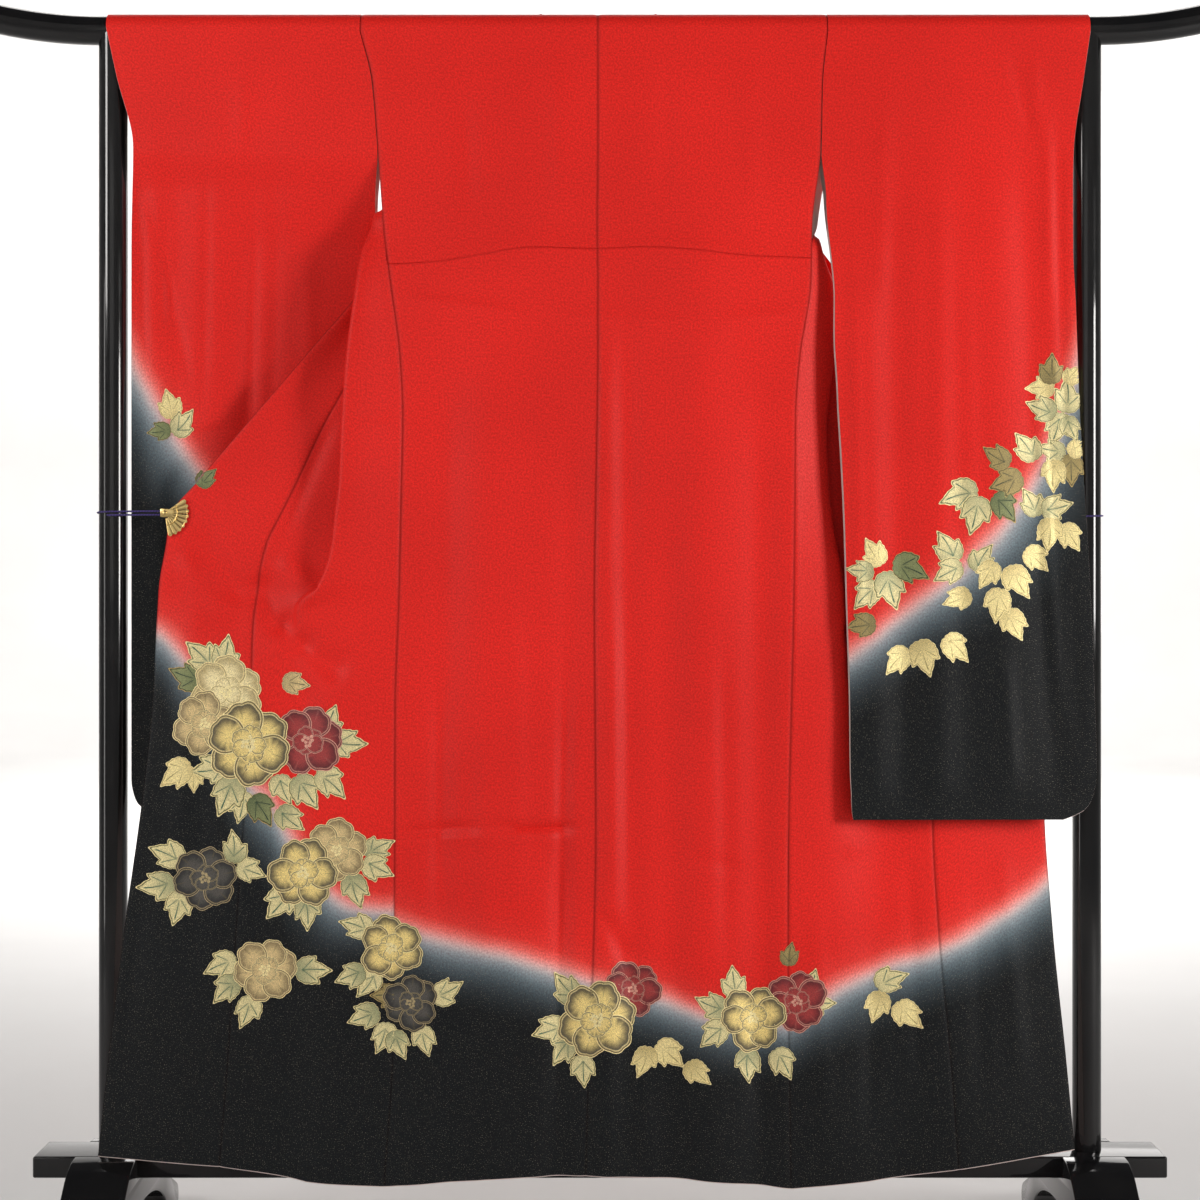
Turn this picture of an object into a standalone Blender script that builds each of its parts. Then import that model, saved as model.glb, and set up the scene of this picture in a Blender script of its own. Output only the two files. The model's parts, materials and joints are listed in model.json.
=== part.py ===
"""Furisode kimono shown from the back on a lacquered kimono stand, with both fronts drawn out to the sides."""

import math

import bmesh
import bpy
import numpy as np
from mathutils import Vector

# Stand
RAIL_HEIGHT = 1.7204
RAIL_RADIUS = 0.020
RAIL_STRAIGHT_HALF = 0.700
RAIL_HALF = 0.930
RAIL_BEND_RADIUS = 0.700
POST_X = 0.687
POST_RADIUS = 0.020
BEAM_HALF = 0.790
BEAM_TOP = 0.142
BEAM_BOTTOM = 0.112
BEAM_HALF_DEPTH = 0.040
FOOT_X = 0.687
FOOT_HALF_WIDTH = 0.044
FOOT_ARCH_HALF = 0.150
FOOT_ARCH_HEIGHT = 0.070
ROUND_SIDES = 24
RAIL_BEND_STEPS = 6
RAIL_END_ROUND = 0.006
ARCH_STEPS = 8
BEAM_ROUND = 0.002
POST_BELOW_RAIL_CENTRE = 0.004
SADDLE_CLEAR = 0.0004
SADDLE_PAST_STRAIGHT = 0.05

# Half of a foot seen from the side, from the beam's housing down to the floor: depth and height.
FOOT_PROFILE = (
    (0.062, 0.1405), (0.085, 0.131), (0.108, 0.112), (0.130, 0.090), (0.155, 0.067), (0.180, 0.050),
    (0.205, 0.038), (0.222, 0.028), (0.228, 0.014), (0.226, 0.0),
)

# Cloth
WALL = 0.0016
HALF_WALL = WALL / 2
SEAM_GAP = 0.0003
FOLD_GAP = 0.0008
CLOTH_OFF_RAIL = 0.0008
OVER_RAIL = RAIL_RADIUS + CLOTH_OFF_RAIL + HALF_WALL
RAIL_EASE = 0.110
SHARP_DEGREES = 50

# Folds fade in and out along their length, and near the borders of their layer.
FOLD_FADE_IN = 0.20
FOLD_FADE_OUT = 0.15
BACK_SIDE_FADE = 0.12
CUFF_FADE = 0.25
SLEEVE_INNER_FADE = 0.15
SLEEVE_FOOT_FADE = 0.06

# Collar: folded along its length, standing at the neck and leaning over behind each front's edge.
COLLAR_WIDTH = 0.055
COLLAR_BEHIND = 0.0056
COLLAR_LIFT = 0.004
COLLAR_LEAN_DEGREES = 53
COLLAR_LEAN_TOP = 1.70
COLLAR_LEAN_DROP = 0.16
NECK_DROP = 0.030

# Clips: a ribbed fan on the cloth's face, a knuckle past its edge and a jaw behind the collar.
FAN_RADIUS = 0.034
FAN_INNER = 0.008
FAN_RIBS = 9
FAN_FIRST_DEGREES = 37
FAN_LAST_DEGREES = -81
FAN_PLATE = 0.0014
FAN_RIB_RISE = 0.0009
CLIP_CLEAR = 0.0014
CLIP_PLACES = {"left": (-0.6065, 1.0385), "right": (0.6205, 1.0345)}
KNUCKLE_OUT = 0.006
KNUCKLE_IN = 0.003
KNUCKLE_HALF = 0.006
JAW_REACH = 0.020
JAW_THICK = 0.0016
JAW_HALF = 0.0055
HUB_REACH = 0.0125
HUB_THICK = 0.0018

# Tie cords: out from a clip's knuckle, once round the post and back.
CORD_RADIUS = 0.0012
CORD_OFF_CLIP = 0.0006
CORD_OFF_POST = 0.0006
CORD_BEHIND_EDGE = 0.001
CORD_DROP = 0.0050
CORD_TURN_STEPS = 22
CORD_STRAIGHT_STEPS = 5

# Each front row is one plan curve through five places, at these shares of its width.
FRONT_KNOTS = (0.0, 0.2, 0.4, 0.6, 1.0)
RIDGE_KNOT = FRONT_KNOTS[1]
VALLEY_KNOT = FRONT_KNOTS[2]
SEAM_KNOT = FRONT_KNOTS[3]

# Where a front doubles back, it turns on at least this radius.
TURN_RADIUS = 0.003
STILL = 1e-9

BACK_COLUMNS = ("height", "seam", "left", "right", "depth")
BACK_ROWS = (
    (1.714, -0.003, -0.336, 0.319, -0.0216),
    (1.645, -0.003, -0.319, 0.312, -0.023),
    (1.547, -0.003, -0.311, 0.309, -0.024),
    (1.442, -0.004, -0.303, 0.297, -0.026),
    (1.363, -0.003, -0.293, 0.295, -0.028),
    (1.255, -0.003, -0.279, 0.279, -0.031),
    (1.174, -0.004, -0.275, 0.273, -0.034),
    (1.063, -0.006, -0.277, 0.272, -0.036),
    (0.917, -0.008, -0.280, 0.270, -0.040),
    (0.760, -0.007, -0.285, 0.266, -0.043),
    (0.591, -0.006, -0.285, 0.262, -0.047),
    (0.407, -0.010, -0.286, 0.261, -0.050),
    (0.294, -0.015, -0.287, 0.262, -0.053),
    (0.120, -0.020, -0.298, 0.264, -0.056),
)

# A front's side edge is given from the back's: how far out to its side and how far behind it lies.
FRONT_COLUMNS = (
    "height", "side_out", "side_behind", "ridge_x", "ridge_y", "valley_x", "valley_y",
    "seam_x", "seam_y", "edge_x", "edge_y",
)
LEFT_FRONT_ROWS = (
    (1.727, 0.0, 0.0432, -0.285, 0.0216, -0.213, 0.0216, -0.085, 0.0216, -0.085, 0.0216),
    (1.659, 0.0, 0.045, -0.263, 0.022, -0.163, 0.022, -0.143, 0.034, -0.143, 0.034),
    (1.559, 0.0, 0.045, -0.263, 0.018, -0.198, 0.018, -0.210, 0.036, -0.210, 0.036),
    (1.497, 0.002, 0.031, -0.283, 0.010, -0.202, 0.018, -0.252, 0.034, -0.252, 0.034),
    (1.447, 0.0012, 0.0, -0.316, -0.012, -0.180, 0.018, -0.267, 0.031, -0.283, 0.030),
    (1.395, 0.0012, 0.0, -0.334, -0.030, -0.209, 0.016, -0.282, 0.026, -0.316, 0.020),
    (1.339, 0.0012, 0.0, -0.342, -0.040, -0.231, 0.012, -0.300, 0.016, -0.351, 0.004),
    (1.276, 0.0012, 0.0, -0.350, -0.046, -0.258, 0.000, -0.330, 0.006, -0.402, -0.008),
    (1.214, 0.0012, 0.0, -0.355, -0.050, -0.281, -0.012, -0.361, -0.006, -0.453, -0.018),
    (1.159, 0.0012, 0.0, -0.358, -0.052, -0.299, -0.020, -0.390, -0.018, -0.499, -0.024),
    (1.084, 0.0012, 0.0, -0.361, -0.054, -0.319, -0.028, -0.424, -0.026, -0.561, -0.030),
    (1.033, 0.0012, 0.0, -0.367, -0.055, -0.336, -0.030, -0.448, -0.032, -0.600, -0.034),
    (0.994, 0.0012, 0.0, -0.371, -0.056, -0.350, -0.031, -0.466, -0.034, -0.605, -0.036),
    (0.939, 0.0012, 0.0, -0.386, -0.058, -0.382, -0.036, -0.478, -0.034, -0.614, -0.038),
    (0.905, 0.0012, 0.0, -0.402, -0.057, -0.416, -0.034, -0.482, -0.037, -0.616, -0.039),
    (0.865, 0.0012, 0.0, -0.404, -0.055, -0.434, -0.031, -0.484, -0.040, -0.618, -0.040),
    (0.778, 0.0012, 0.0, -0.367, -0.052, -0.418, -0.040, -0.485, -0.046, -0.622, -0.042),
    (0.663, 0.0012, 0.0, -0.353, -0.052, -0.417, -0.045, -0.491, -0.048, -0.633, -0.046),
    (0.459, 0.0012, 0.0, -0.353, -0.055, -0.419, -0.049, -0.504, -0.053, -0.660, -0.050),
    (0.280, 0.0012, 0.0, -0.366, -0.058, -0.432, -0.052, -0.515, -0.057, -0.681, -0.054),
    (0.134, 0.0012, 0.0, -0.373, -0.061, -0.440, -0.054, -0.526, -0.060, -0.696, -0.056),
)
RIGHT_FRONT_ROWS = (
    (1.727, 0.0, 0.0432, 0.270, 0.0216, 0.206, 0.0216, 0.080, 0.0216, 0.080, 0.0216),
    (1.659, 0.0, 0.045, 0.263, 0.022, 0.154, 0.022, 0.134, 0.034, 0.134, 0.034),
    (1.559, 0.0, 0.045, 0.263, 0.020, 0.199, 0.018, 0.211, 0.036, 0.211, 0.036),
    (1.498, 0.014, 0.047, 0.276, 0.020, 0.204, 0.020, 0.254, 0.036, 0.254, 0.036),
    (1.449, 0.012, 0.032, 0.290, 0.012, 0.190, 0.020, 0.277, 0.034, 0.293, 0.034),
    (1.411, 0.0012, 0.0, 0.306, -0.006, 0.188, 0.020, 0.291, 0.032, 0.320, 0.032),
    (1.341, 0.0012, 0.0, 0.334, 0.008, 0.227, 0.020, 0.322, 0.030, 0.375, 0.033),
    (1.279, 0.0012, 0.0, 0.333, 0.006, 0.245, 0.018, 0.349, 0.029, 0.424, 0.034),
    (1.216, 0.0012, 0.0, 0.325, 0.002, 0.254, 0.015, 0.376, 0.027, 0.473, 0.034),
    (1.161, 0.0012, 0.0, 0.319, -0.004, 0.261, 0.010, 0.400, 0.023, 0.515, 0.032),
    (1.086, 0.0012, 0.0, 0.321, -0.008, 0.278, 0.004, 0.431, 0.018, 0.573, 0.029),
    (1.034, 0.0012, 0.0, 0.326, -0.012, 0.297, 0.000, 0.457, 0.014, 0.613, 0.027),
    (0.917, 0.0012, 0.0, 0.342, -0.020, 0.326, 0.000, 0.467, 0.004, 0.617, 0.017),
    (0.850, 0.0012, 0.0, 0.340, -0.028, 0.354, -0.002, 0.466, -0.004, 0.619, 0.010),
    (0.777, 0.0012, 0.0, 0.332, -0.036, 0.394, -0.010, 0.465, -0.014, 0.622, 0.001),
    (0.603, 0.0012, 0.0, 0.323, -0.042, 0.392, -0.024, 0.465, -0.029, 0.624, -0.018),
    (0.458, 0.0012, 0.0, 0.322, -0.048, 0.393, -0.038, 0.471, -0.043, 0.631, -0.036),
    (0.279, 0.0012, 0.0, 0.325, -0.056, 0.402, -0.049, 0.486, -0.054, 0.647, -0.048),
    (0.133, 0.0012, 0.0, 0.332, -0.059, 0.411, -0.053, 0.496, -0.058, 0.660, -0.052),
)

# The near layer of a sleeve is on the viewer's side of the rail, the far layer behind it.
# Its inner edge is given from the back's side edge: how far out from it the sleeve ends.
SLEEVE_COLUMNS = (
    "height", "cuff_x", "far_cuff_x", "inner_out", "near_cuff_y", "near_inner_y", "far_cuff_y", "far_inner_y",
)
LEFT_SLEEVE_ROWS = (
    (1.720, -0.692, -0.692, 0.0006, -0.0216, -0.0216, 0.0216, 0.0216),
    (1.651, -0.677, -0.677, 0.0010, -0.0216, -0.023, 0.0216, 0.022),
    (1.552, -0.654, -0.654, 0.0006, -0.0210, -0.024, 0.0210, 0.0215),
    (1.489, -0.660, -0.660, 0.010, -0.0013, -0.004, 0.0013, 0.032),
    (1.411, -0.661, -0.661, 0.020, -0.0013, 0.028, 0.0013, 0.048),
    (1.341, -0.661, -0.661, 0.031, -0.0013, 0.032, 0.0013, 0.052),
    (1.199, -0.661, -0.661, 0.044, -0.0013, 0.031, 0.0013, 0.050),
    (1.041, -0.661, -0.661, 0.040, -0.0013, 0.032, 0.0013, 0.050),
    (0.846, -0.661, -0.661, 0.035, -0.0013, 0.028, 0.0013, 0.044),
    (0.663, -0.661, -0.661, 0.031, -0.0013, 0.014, 0.0013, 0.026),
    (0.635, -0.655, -0.655, 0.032, -0.0013, 0.011, 0.0013, 0.020),
    (0.616, -0.635, -0.635, 0.034, -0.0013, 0.007, 0.0013, 0.012),
    (0.604, -0.604, -0.604, 0.037, -0.0013, 0.004, 0.0013, 0.007),
)
RIGHT_SLEEVE_ROWS = (
    (1.714, 0.687, 0.680, 0.0006, -0.0216, -0.0216, 0.0216, 0.0216),
    (1.645, 0.677, 0.661, 0.0006, -0.0220, -0.023, 0.0216, 0.022),
    (1.547, 0.663, 0.656, 0.0012, -0.024, -0.024, 0.006, 0.0205),
    (1.484, 0.661, 0.661, 0.015, -0.0276, -0.025, -0.025, 0.008),
    (1.406, 0.661, 0.661, 0.026, -0.0286, -0.032, -0.026, -0.016),
    (1.336, 0.664, 0.664, 0.035, -0.0306, -0.036, -0.028, -0.020),
    (1.196, 0.668, 0.668, 0.058, -0.0346, -0.039, -0.032, -0.020),
    (1.039, 0.676, 0.676, 0.068, -0.0396, -0.044, -0.037, -0.025),
    (0.917, 0.682, 0.682, 0.073, -0.0436, -0.048, -0.041, -0.030),
    (0.778, 0.686, 0.686, 0.080, -0.0486, -0.053, -0.046, -0.038),
    (0.679, 0.688, 0.688, 0.083, -0.0526, -0.057, -0.050, -0.046),
    (0.647, 0.683, 0.683, 0.085, -0.0536, -0.058, -0.051, -0.050),
    (0.625, 0.669, 0.669, 0.086, -0.0546, -0.0585, -0.052, -0.053),
    (0.613, 0.640, 0.640, 0.088, -0.0556, -0.059, -0.053, -0.056),
)

# Soft ridges (positive) and troughs (negative) that run down a layer from top to foot.
FOLD_COLUMNS = ("top_x", "top_height", "foot_x", "foot_height", "half_width", "rise")
BACK_FOLDS = (
    (0.008, 1.40, 0.010, 0.10, 0.016, 0.004),
    (0.036, 1.40, 0.046, 0.30, 0.018, -0.005),
    (-0.040, 1.20, -0.046, 0.50, 0.022, -0.005),
    (-0.150, 1.40, -0.160, 0.10, 0.040, 0.006),
    (-0.216, 1.25, -0.222, 0.50, 0.026, -0.006),
    (0.140, 1.55, 0.150, 0.10, 0.038, 0.006),
    (0.225, 1.30, 0.222, 0.10, 0.026, -0.006),
    (-0.052, 0.60, -0.060, 0.10, 0.022, -0.007),
    (0.090, 1.10, 0.100, 0.10, 0.026, -0.004),
    (-0.240, 0.60, -0.250, 0.10, 0.030, 0.004),
)
LEFT_SLEEVE_FOLDS = (
    (-0.640, 1.62, -0.620, 1.10, 0.022, 0.004),
    (-0.606, 1.55, -0.600, 0.70, 0.016, -0.004),
    (-0.545, 1.62, -0.540, 0.70, 0.034, 0.005),
    (-0.500, 1.62, -0.500, 0.80, 0.018, -0.003),
    (-0.420, 1.60, -0.430, 0.70, 0.045, 0.003),
)
RIGHT_SLEEVE_FOLDS = (
    (0.590, 1.60, 0.640, 0.66, 0.022, -0.0035),
    (0.545, 1.62, 0.560, 0.66, 0.034, 0.004),
    (0.470, 1.60, 0.470, 0.66, 0.028, 0.005),
    (0.410, 1.55, 0.420, 0.66, 0.020, -0.0035),
    (0.368, 1.45, 0.372, 0.66, 0.020, 0.003),
)

# Hem heights at shares of the width: the back from left side to right, a front from side to edge.
BACK_HEM = ((-1.0, 0.106), (-0.5, 0.117), (0.0, 0.121), (0.5, 0.117), (1.0, 0.103))
LEFT_HEM = ((0.0, 0.106), (0.3, 0.113), (0.6, 0.135), (1.0, 0.148))
RIGHT_HEM = ((0.0, 0.103), (0.3, 0.113), (0.6, 0.130), (1.0, 0.156))
LEFT_SLEEVE_FOOT = 0.604
RIGHT_SLEEVE_FOOT = 0.613

# Rows of a layer: 0 to 1 turns over the rail, 1 to 2 hangs from it to the hem.
OVER_ROWS = (0.0, 0.25, 0.5, 0.75, 1.0)
BACK_HANG = (0.035, 0.08, 0.13, 0.18, 0.225, 0.29, 0.36, 0.44, 0.52, 0.60, 0.68, 0.76, 0.84, 0.92, 1.0)
FRONT_HANG = (
    0.035, 0.07, 0.09, 0.11, 0.128, 0.145, 0.158, 0.17, 0.18, 0.19, 0.202, 0.215, 0.24, 0.275, 0.31, 0.35, 0.39,
    0.425, 0.455, 0.485, 0.515, 0.55, 0.59, 0.64, 0.70, 0.77, 0.85, 0.93, 1.0,
)
SLEEVE_HANG = (0.04, 0.09, 0.15, 0.205, 0.26, 0.33, 0.42, 0.52, 0.62, 0.72, 0.82, 0.90, 0.95, 0.98, 1.0)
FRONT_ACROSS = (
    tuple(RIDGE_KNOT * step / 4 for step in range(4))
    + tuple(RIDGE_KNOT + (VALLEY_KNOT - RIDGE_KNOT) * step / 5 for step in range(5))
    + tuple(VALLEY_KNOT + (SEAM_KNOT - VALLEY_KNOT) * step / 6 for step in range(7))
)
GUSSET_ACROSS = tuple(SEAM_KNOT + (1 - SEAM_KNOT) * step / 4 for step in range(5))
BACK_ACROSS = tuple(step / 11 for step in range(12))
SLEEVE_ACROSS = tuple(step / 10 for step in range(11))
GUSSET_FIRST_ROW = 1.17

# Heights along a front's edge at which the collar is laid, and shares of its width.
COLLAR_STATIONS = (
    1.033, 1.075, 1.12, 1.17, 1.22, 1.26, 1.30, 1.33, 1.36, 1.39, 1.42, 1.45, 1.48, 1.52, 1.57, 1.62, 1.66, 1.69,
)
COLLAR_ACROSS = (0.0, 0.125, 0.25, 0.375, 0.5, 0.75, 1.0)

# The collar behind the rail: it lies beside the fronts at the neck and passes behind them at each end.
# Each row is a place along X, the radius about the rail and how far round from the crest it starts.
NECK_ROWS = (
    (-0.108, 0.0275, 0.70),
    (-0.096, 0.0260, 0.35),
    (-0.0835, 0.0248, 0.02),
    (-0.078, 0.0216, 0.01),
    (-0.040, 0.0216, 0.01),
    (-0.003, 0.0216, 0.01),
    (0.035, 0.0216, 0.01),
    (0.073, 0.0216, 0.01),
    (0.0785, 0.0248, 0.02),
    (0.091, 0.0260, 0.35),
    (0.103, 0.0275, 0.70),
)

COLOURS = {
    "silk": ((0.62, 0.018, 0.014, 1.0), 0.62, 0.0),
    "lacquer": ((0.006, 0.006, 0.007, 1.0), 0.12, 0.0),
    "gilt": ((0.72, 0.50, 0.17, 1.0), 0.30, 1.0),
    "cord": ((0.055, 0.012, 0.28, 1.0), 0.60, 0.0),
}


def clear_scene():
    for old in list(bpy.data.objects):
        bpy.data.objects.remove(old)


def material_for(name, finish):
    colour, roughness, metallic = COLOURS[finish]
    material = bpy.data.materials.new(name)
    material.use_nodes = True
    shader = material.node_tree.nodes["Principled BSDF"]
    shader.inputs["Base Color"].default_value = colour
    shader.inputs["Roughness"].default_value = roughness
    shader.inputs["Metallic"].default_value = metallic
    return material


def object_from(name, shape, finish, sharp_degrees=None):
    bmesh.ops.recalc_face_normals(shape, faces=shape.faces)
    if shape.calc_volume(signed=True) < 0:
        bmesh.ops.reverse_faces(shape, faces=shape.faces)
    mesh = bpy.data.meshes.new(name)
    shape.to_mesh(mesh)
    shape.free()
    mesh.materials.append(material_for(name, finish))
    if sharp_degrees is not None:
        mesh.shade_smooth()
        mesh.set_sharp_from_angle(angle=math.radians(sharp_degrees))
    made = bpy.data.objects.new(name, mesh)
    bpy.context.scene.collection.objects.link(made)
    return made


class Sections:
    """A table of sections by height, read between its rows along curves that never overshoot them."""

    def __init__(self, columns, rows):
        data = np.array(rows, float)[::-1]
        self.columns = columns[1:]
        self.heights = data[:, 0]
        self.values = data[:, 1:]
        steps = np.diff(self.heights)[:, None]
        grades = np.diff(self.values, axis=0) / steps
        self.slopes = np.zeros_like(self.values)
        same_way = grades[:-1] * grades[1:] > 0
        joined = np.where(same_way, grades[:-1] + grades[1:], 1.0)
        self.slopes[1:-1] = np.where(same_way, 2 * grades[:-1] * grades[1:] / joined, 0.0)
        self.slopes[0] = grades[0]
        self.slopes[-1] = grades[-1]

    def at(self, height):
        height = min(max(height, self.heights[0]), self.heights[-1])
        row = min(int(np.searchsorted(self.heights, height, "right")) - 1, len(self.heights) - 2)
        step = self.heights[row + 1] - self.heights[row]
        share = (height - self.heights[row]) / step
        values = hermite(
            self.values[row], self.values[row + 1], self.slopes[row] * step, self.slopes[row + 1] * step, share
        )
        return dict(zip(self.columns, values))


def hermite(start, end, start_slope, end_slope, share):
    square = share * share
    cube = square * share
    return (
        (2 * cube - 3 * square + 1) * start
        + (cube - 2 * square + share) * start_slope
        + (3 * square - 2 * cube) * end
        + (cube - square) * end_slope
    )


def curve_through(places, knots, share):
    """The point at this share of a smooth curve through the places, which overshoots only where it turns back."""
    places = np.array(places, float)
    knots = np.array(knots)
    slopes = np.gradient(places, knots, axis=0)
    grades = np.diff(places, axis=0) / np.diff(knots)[:, None]
    most = 3 * np.minimum(abs(grades[:-1]), abs(grades[1:]))
    onward = grades[:-1] * grades[1:] > 0
    slopes[1:-1] = np.where(onward, np.clip(slopes[1:-1], -most, most), slopes[1:-1])
    for knot in range(1, len(knots) - 1):
        before, after = grades[knot - 1], grades[knot]
        lengths = (np.linalg.norm(before), np.linalg.norm(after))
        doubling = ease(-np.dot(before, after) / max(lengths[0] * lengths[1], STILL))
        step = min(knots[knot] - knots[knot - 1], knots[knot + 1] - knots[knot])
        through = np.array((0.0, min(math.sqrt(6 * TURN_RADIUS * max(lengths) / step), *lengths)))
        slopes[knot] += (through - slopes[knot]) * doubling
    span = min(int(np.searchsorted(knots, share, "right")) - 1, len(knots) - 2)
    step = knots[span + 1] - knots[span]
    part = (share - knots[span]) / step
    return hermite(places[span], places[span + 1], slopes[span] * step, slopes[span + 1] * step, part)


def ease(value):
    value = min(max(value, 0.0), 1.0)
    return value * value * (3 - 2 * value)


def fold_rise(folds, x, height):
    """How far the listed ridges and troughs lift a layer at this place."""
    total = 0.0
    for top_x, top_height, foot_x, foot_height, half_width, rise in folds:
        down = (top_height - height) / (top_height - foot_height)
        centre = top_x + (foot_x - top_x) * down
        spread = (x - centre) / half_width
        start = ease(down / FOLD_FADE_IN)
        end = ease((1 + FOLD_FADE_OUT - down) / FOLD_FADE_OUT)
        total += rise * math.exp(-spread * spread) * start * end
    return total


def hang(side, down, foot):
    """Depth and height where a layer turns over the rail and then drops to its foot; side is -1 near, 1 far."""
    if down <= 1:
        angle = math.pi / 2 * (1 - down)
        return side * OVER_RAIL * math.cos(angle), RAIL_HEIGHT + OVER_RAIL * math.sin(angle)
    return side * OVER_RAIL, RAIL_HEIGHT - (down - 1) * (RAIL_HEIGHT - foot)


def settled(over_depth, depth, height):
    """A layer's depth, which leaves the rail's curve gradually."""
    return over_depth + (depth - over_depth) * ease((RAIL_HEIGHT - height) / RAIL_EASE)


def hem_at(hem, share):
    return float(np.interp(share, [place[0] for place in hem], [place[1] for place in hem]))


BACK = Sections(BACK_COLUMNS, BACK_ROWS)
FRONTS = {
    "left": Sections(FRONT_COLUMNS, LEFT_FRONT_ROWS),
    "right": Sections(FRONT_COLUMNS, RIGHT_FRONT_ROWS),
}
SLEEVES = {
    "left": Sections(SLEEVE_COLUMNS, LEFT_SLEEVE_ROWS),
    "right": Sections(SLEEVE_COLUMNS, RIGHT_SLEEVE_ROWS),
}


def back_point(across, down):
    """The back from the left side (-1) over the centre seam (0) to the right side (1)."""
    over_depth, height = hang(-1, down, hem_at(BACK_HEM, across))
    row = BACK.at(height)
    side = row["right"] if across > 0 else row["left"]
    x = row["seam"] + (side - row["seam"]) * abs(across)
    edge_fade = ease((1 - abs(across)) / BACK_SIDE_FADE)
    depth = row["depth"] - fold_rise(BACK_FOLDS, x, height) * edge_fade
    return np.array((x, settled(over_depth, depth, height), height))


def front_point(side, across, down):
    """A front and its gusset from the side seam (0) to the front edge (1)."""
    hem = LEFT_HEM if side == "left" else RIGHT_HEM
    over_depth, height = hang(1, down, hem_at(hem, across))
    row = FRONTS[side].at(height)
    back = BACK.at(height)
    outward = -1 if side == "left" else 1
    places = [(back[side] + outward * row["side_out"], back["depth"] + row["side_behind"])]
    places += [(row[key + "_x"], row[key + "_y"]) for key in ("ridge", "valley", "seam", "edge")]
    x, depth = curve_through(places, FRONT_KNOTS, across)
    return np.array((x, settled(over_depth, depth, height), height))


def sleeve_point(side, layer, across, down):
    """One layer of a sleeve from the cuff edge (0) to the inner edge beside the body (1)."""
    foot = LEFT_SLEEVE_FOOT if side == "left" else RIGHT_SLEEVE_FOOT
    over_depth, height = hang(-1 if layer == "near" else 1, down, foot)
    row = SLEEVES[side].at(height)
    cuff_x = row["cuff_x"] if layer == "near" else row["far_cuff_x"]
    outward = -1 if side == "left" else 1
    inner_x = BACK.at(height)[side] + outward * row["inner_out"]
    x = cuff_x + (inner_x - cuff_x) * across
    depth = row[layer + "_cuff_y"] + (row[layer + "_inner_y"] - row[layer + "_cuff_y"]) * across
    folds = LEFT_SLEEVE_FOLDS if side == "left" else RIGHT_SLEEVE_FOLDS
    edge_fade = ease(across / CUFF_FADE) * ease((1 - across) / SLEEVE_INNER_FADE)
    foot_fade = ease((height - foot) / SLEEVE_FOOT_FADE)
    depth -= fold_rise(folds, x, height) * edge_fade * foot_fade
    return np.array((x, settled(over_depth, depth, height), height))


def surface_normal(point, across, down, across_range, down_range):
    """The layer's normal, from steps that stay on the layer."""
    small = 0.002
    wide = [min(max(across + step, across_range[0]), across_range[1]) for step in (-small, small)]
    tall = [min(max(down + step, down_range[0]), down_range[1]) for step in (-small, small)]
    along = point(wide[1], down) - point(wide[0], down)
    drop = point(across, tall[1]) - point(across, tall[0])
    normal = np.cross(along, drop)
    return normal / np.linalg.norm(normal)


def layer_grid(point, across, down, trims):
    """Places and normals of a layer, with its borders drawn in by the trims: start, end, top and foot."""
    ends = (across[0], across[-1])
    rows = (down[0], down[-1])
    places = np.array([[point(a, d) for a in across] for d in down])
    normals = np.array([[surface_normal(point, a, d, ends, rows) for a in across] for d in down])
    start, end, top, foot = trims
    for line, near, trim in (
        (np.s_[:, 0], np.s_[:, 1], start),
        (np.s_[:, -1], np.s_[:, -2], end),
        (np.s_[0], np.s_[1], top),
        (np.s_[-1], np.s_[-2], foot),
    ):
        inward = places[near] - places[line]
        lengths = np.linalg.norm(inward, axis=-1, keepdims=True)
        places[line] = places[line] + inward / lengths * trim
    return places, normals


def wall_from(name, places, normals, finish="silk"):
    """A cloth wall: a grid moved onto the places, with its twin a wall's thickness away and a closed border.

    The grid is cut into triangles first, so that twisted squares are split alike on both faces.
    """
    rows, columns = places.shape[:2]
    shape = bmesh.new()
    bmesh.ops.create_grid(shape, x_segments=columns - 1, y_segments=rows - 1, size=0.5)
    middles = {}
    lifts = {}
    for vert in shape.verts:
        column = round((vert.co.x + 0.5) * (columns - 1))
        row = round((vert.co.y + 0.5) * (rows - 1))
        middles[vert] = Vector(places[row, column])
        lifts[vert] = Vector(normals[row, column] * HALF_WALL)
    for vert, middle in middles.items():
        vert.co = middle + lifts[vert]
    bmesh.ops.triangulate(shape, faces=shape.faces)
    outer_faces = list(shape.faces)
    border = [edge for edge in shape.edges if edge.is_boundary]
    twins = {vert: shape.verts.new(middle - lifts[vert]) for vert, middle in middles.items()}
    for face in outer_faces:
        shape.faces.new([twins[vert] for vert in reversed(face.verts)])
    for edge in border:
        first, second = edge.verts
        shape.faces.new((first, second, twins[second], twins[first]))
    return object_from(name, shape, finish, SHARP_DEGREES)


def cloth_layer(name, point, across, down, trims):
    places, normals = layer_grid(point, across, down, trims)
    return wall_from(name, places, normals)


def hanging_rows(hang_rows):
    return OVER_ROWS + tuple(1 + share for share in hang_rows)


def make_back():
    rows = hanging_rows(BACK_HANG)
    half = SEAM_GAP / 2
    side_gap = FOLD_GAP / 2
    cloth_layer(
        "back_left", back_point, tuple(a - 1 for a in BACK_ACROSS), rows, (side_gap, half, half, 0)
    )
    cloth_layer("back_right", back_point, BACK_ACROSS, rows, (half, side_gap, half, 0))


def make_fronts():
    rows = hanging_rows(FRONT_HANG)
    lower_rows = tuple(row for row in rows if row >= GUSSET_FIRST_ROW)
    half = SEAM_GAP / 2
    for side in ("left", "right"):

        def point(across, down, side=side):
            return front_point(side, across, down)

        cloth_layer("front_" + side, point, FRONT_ACROSS, rows, (FOLD_GAP / 2, half, half, 0))
        cloth_layer("okumi_" + side, point, GUSSET_ACROSS, lower_rows, (half, 0, 0, 0))


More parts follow.
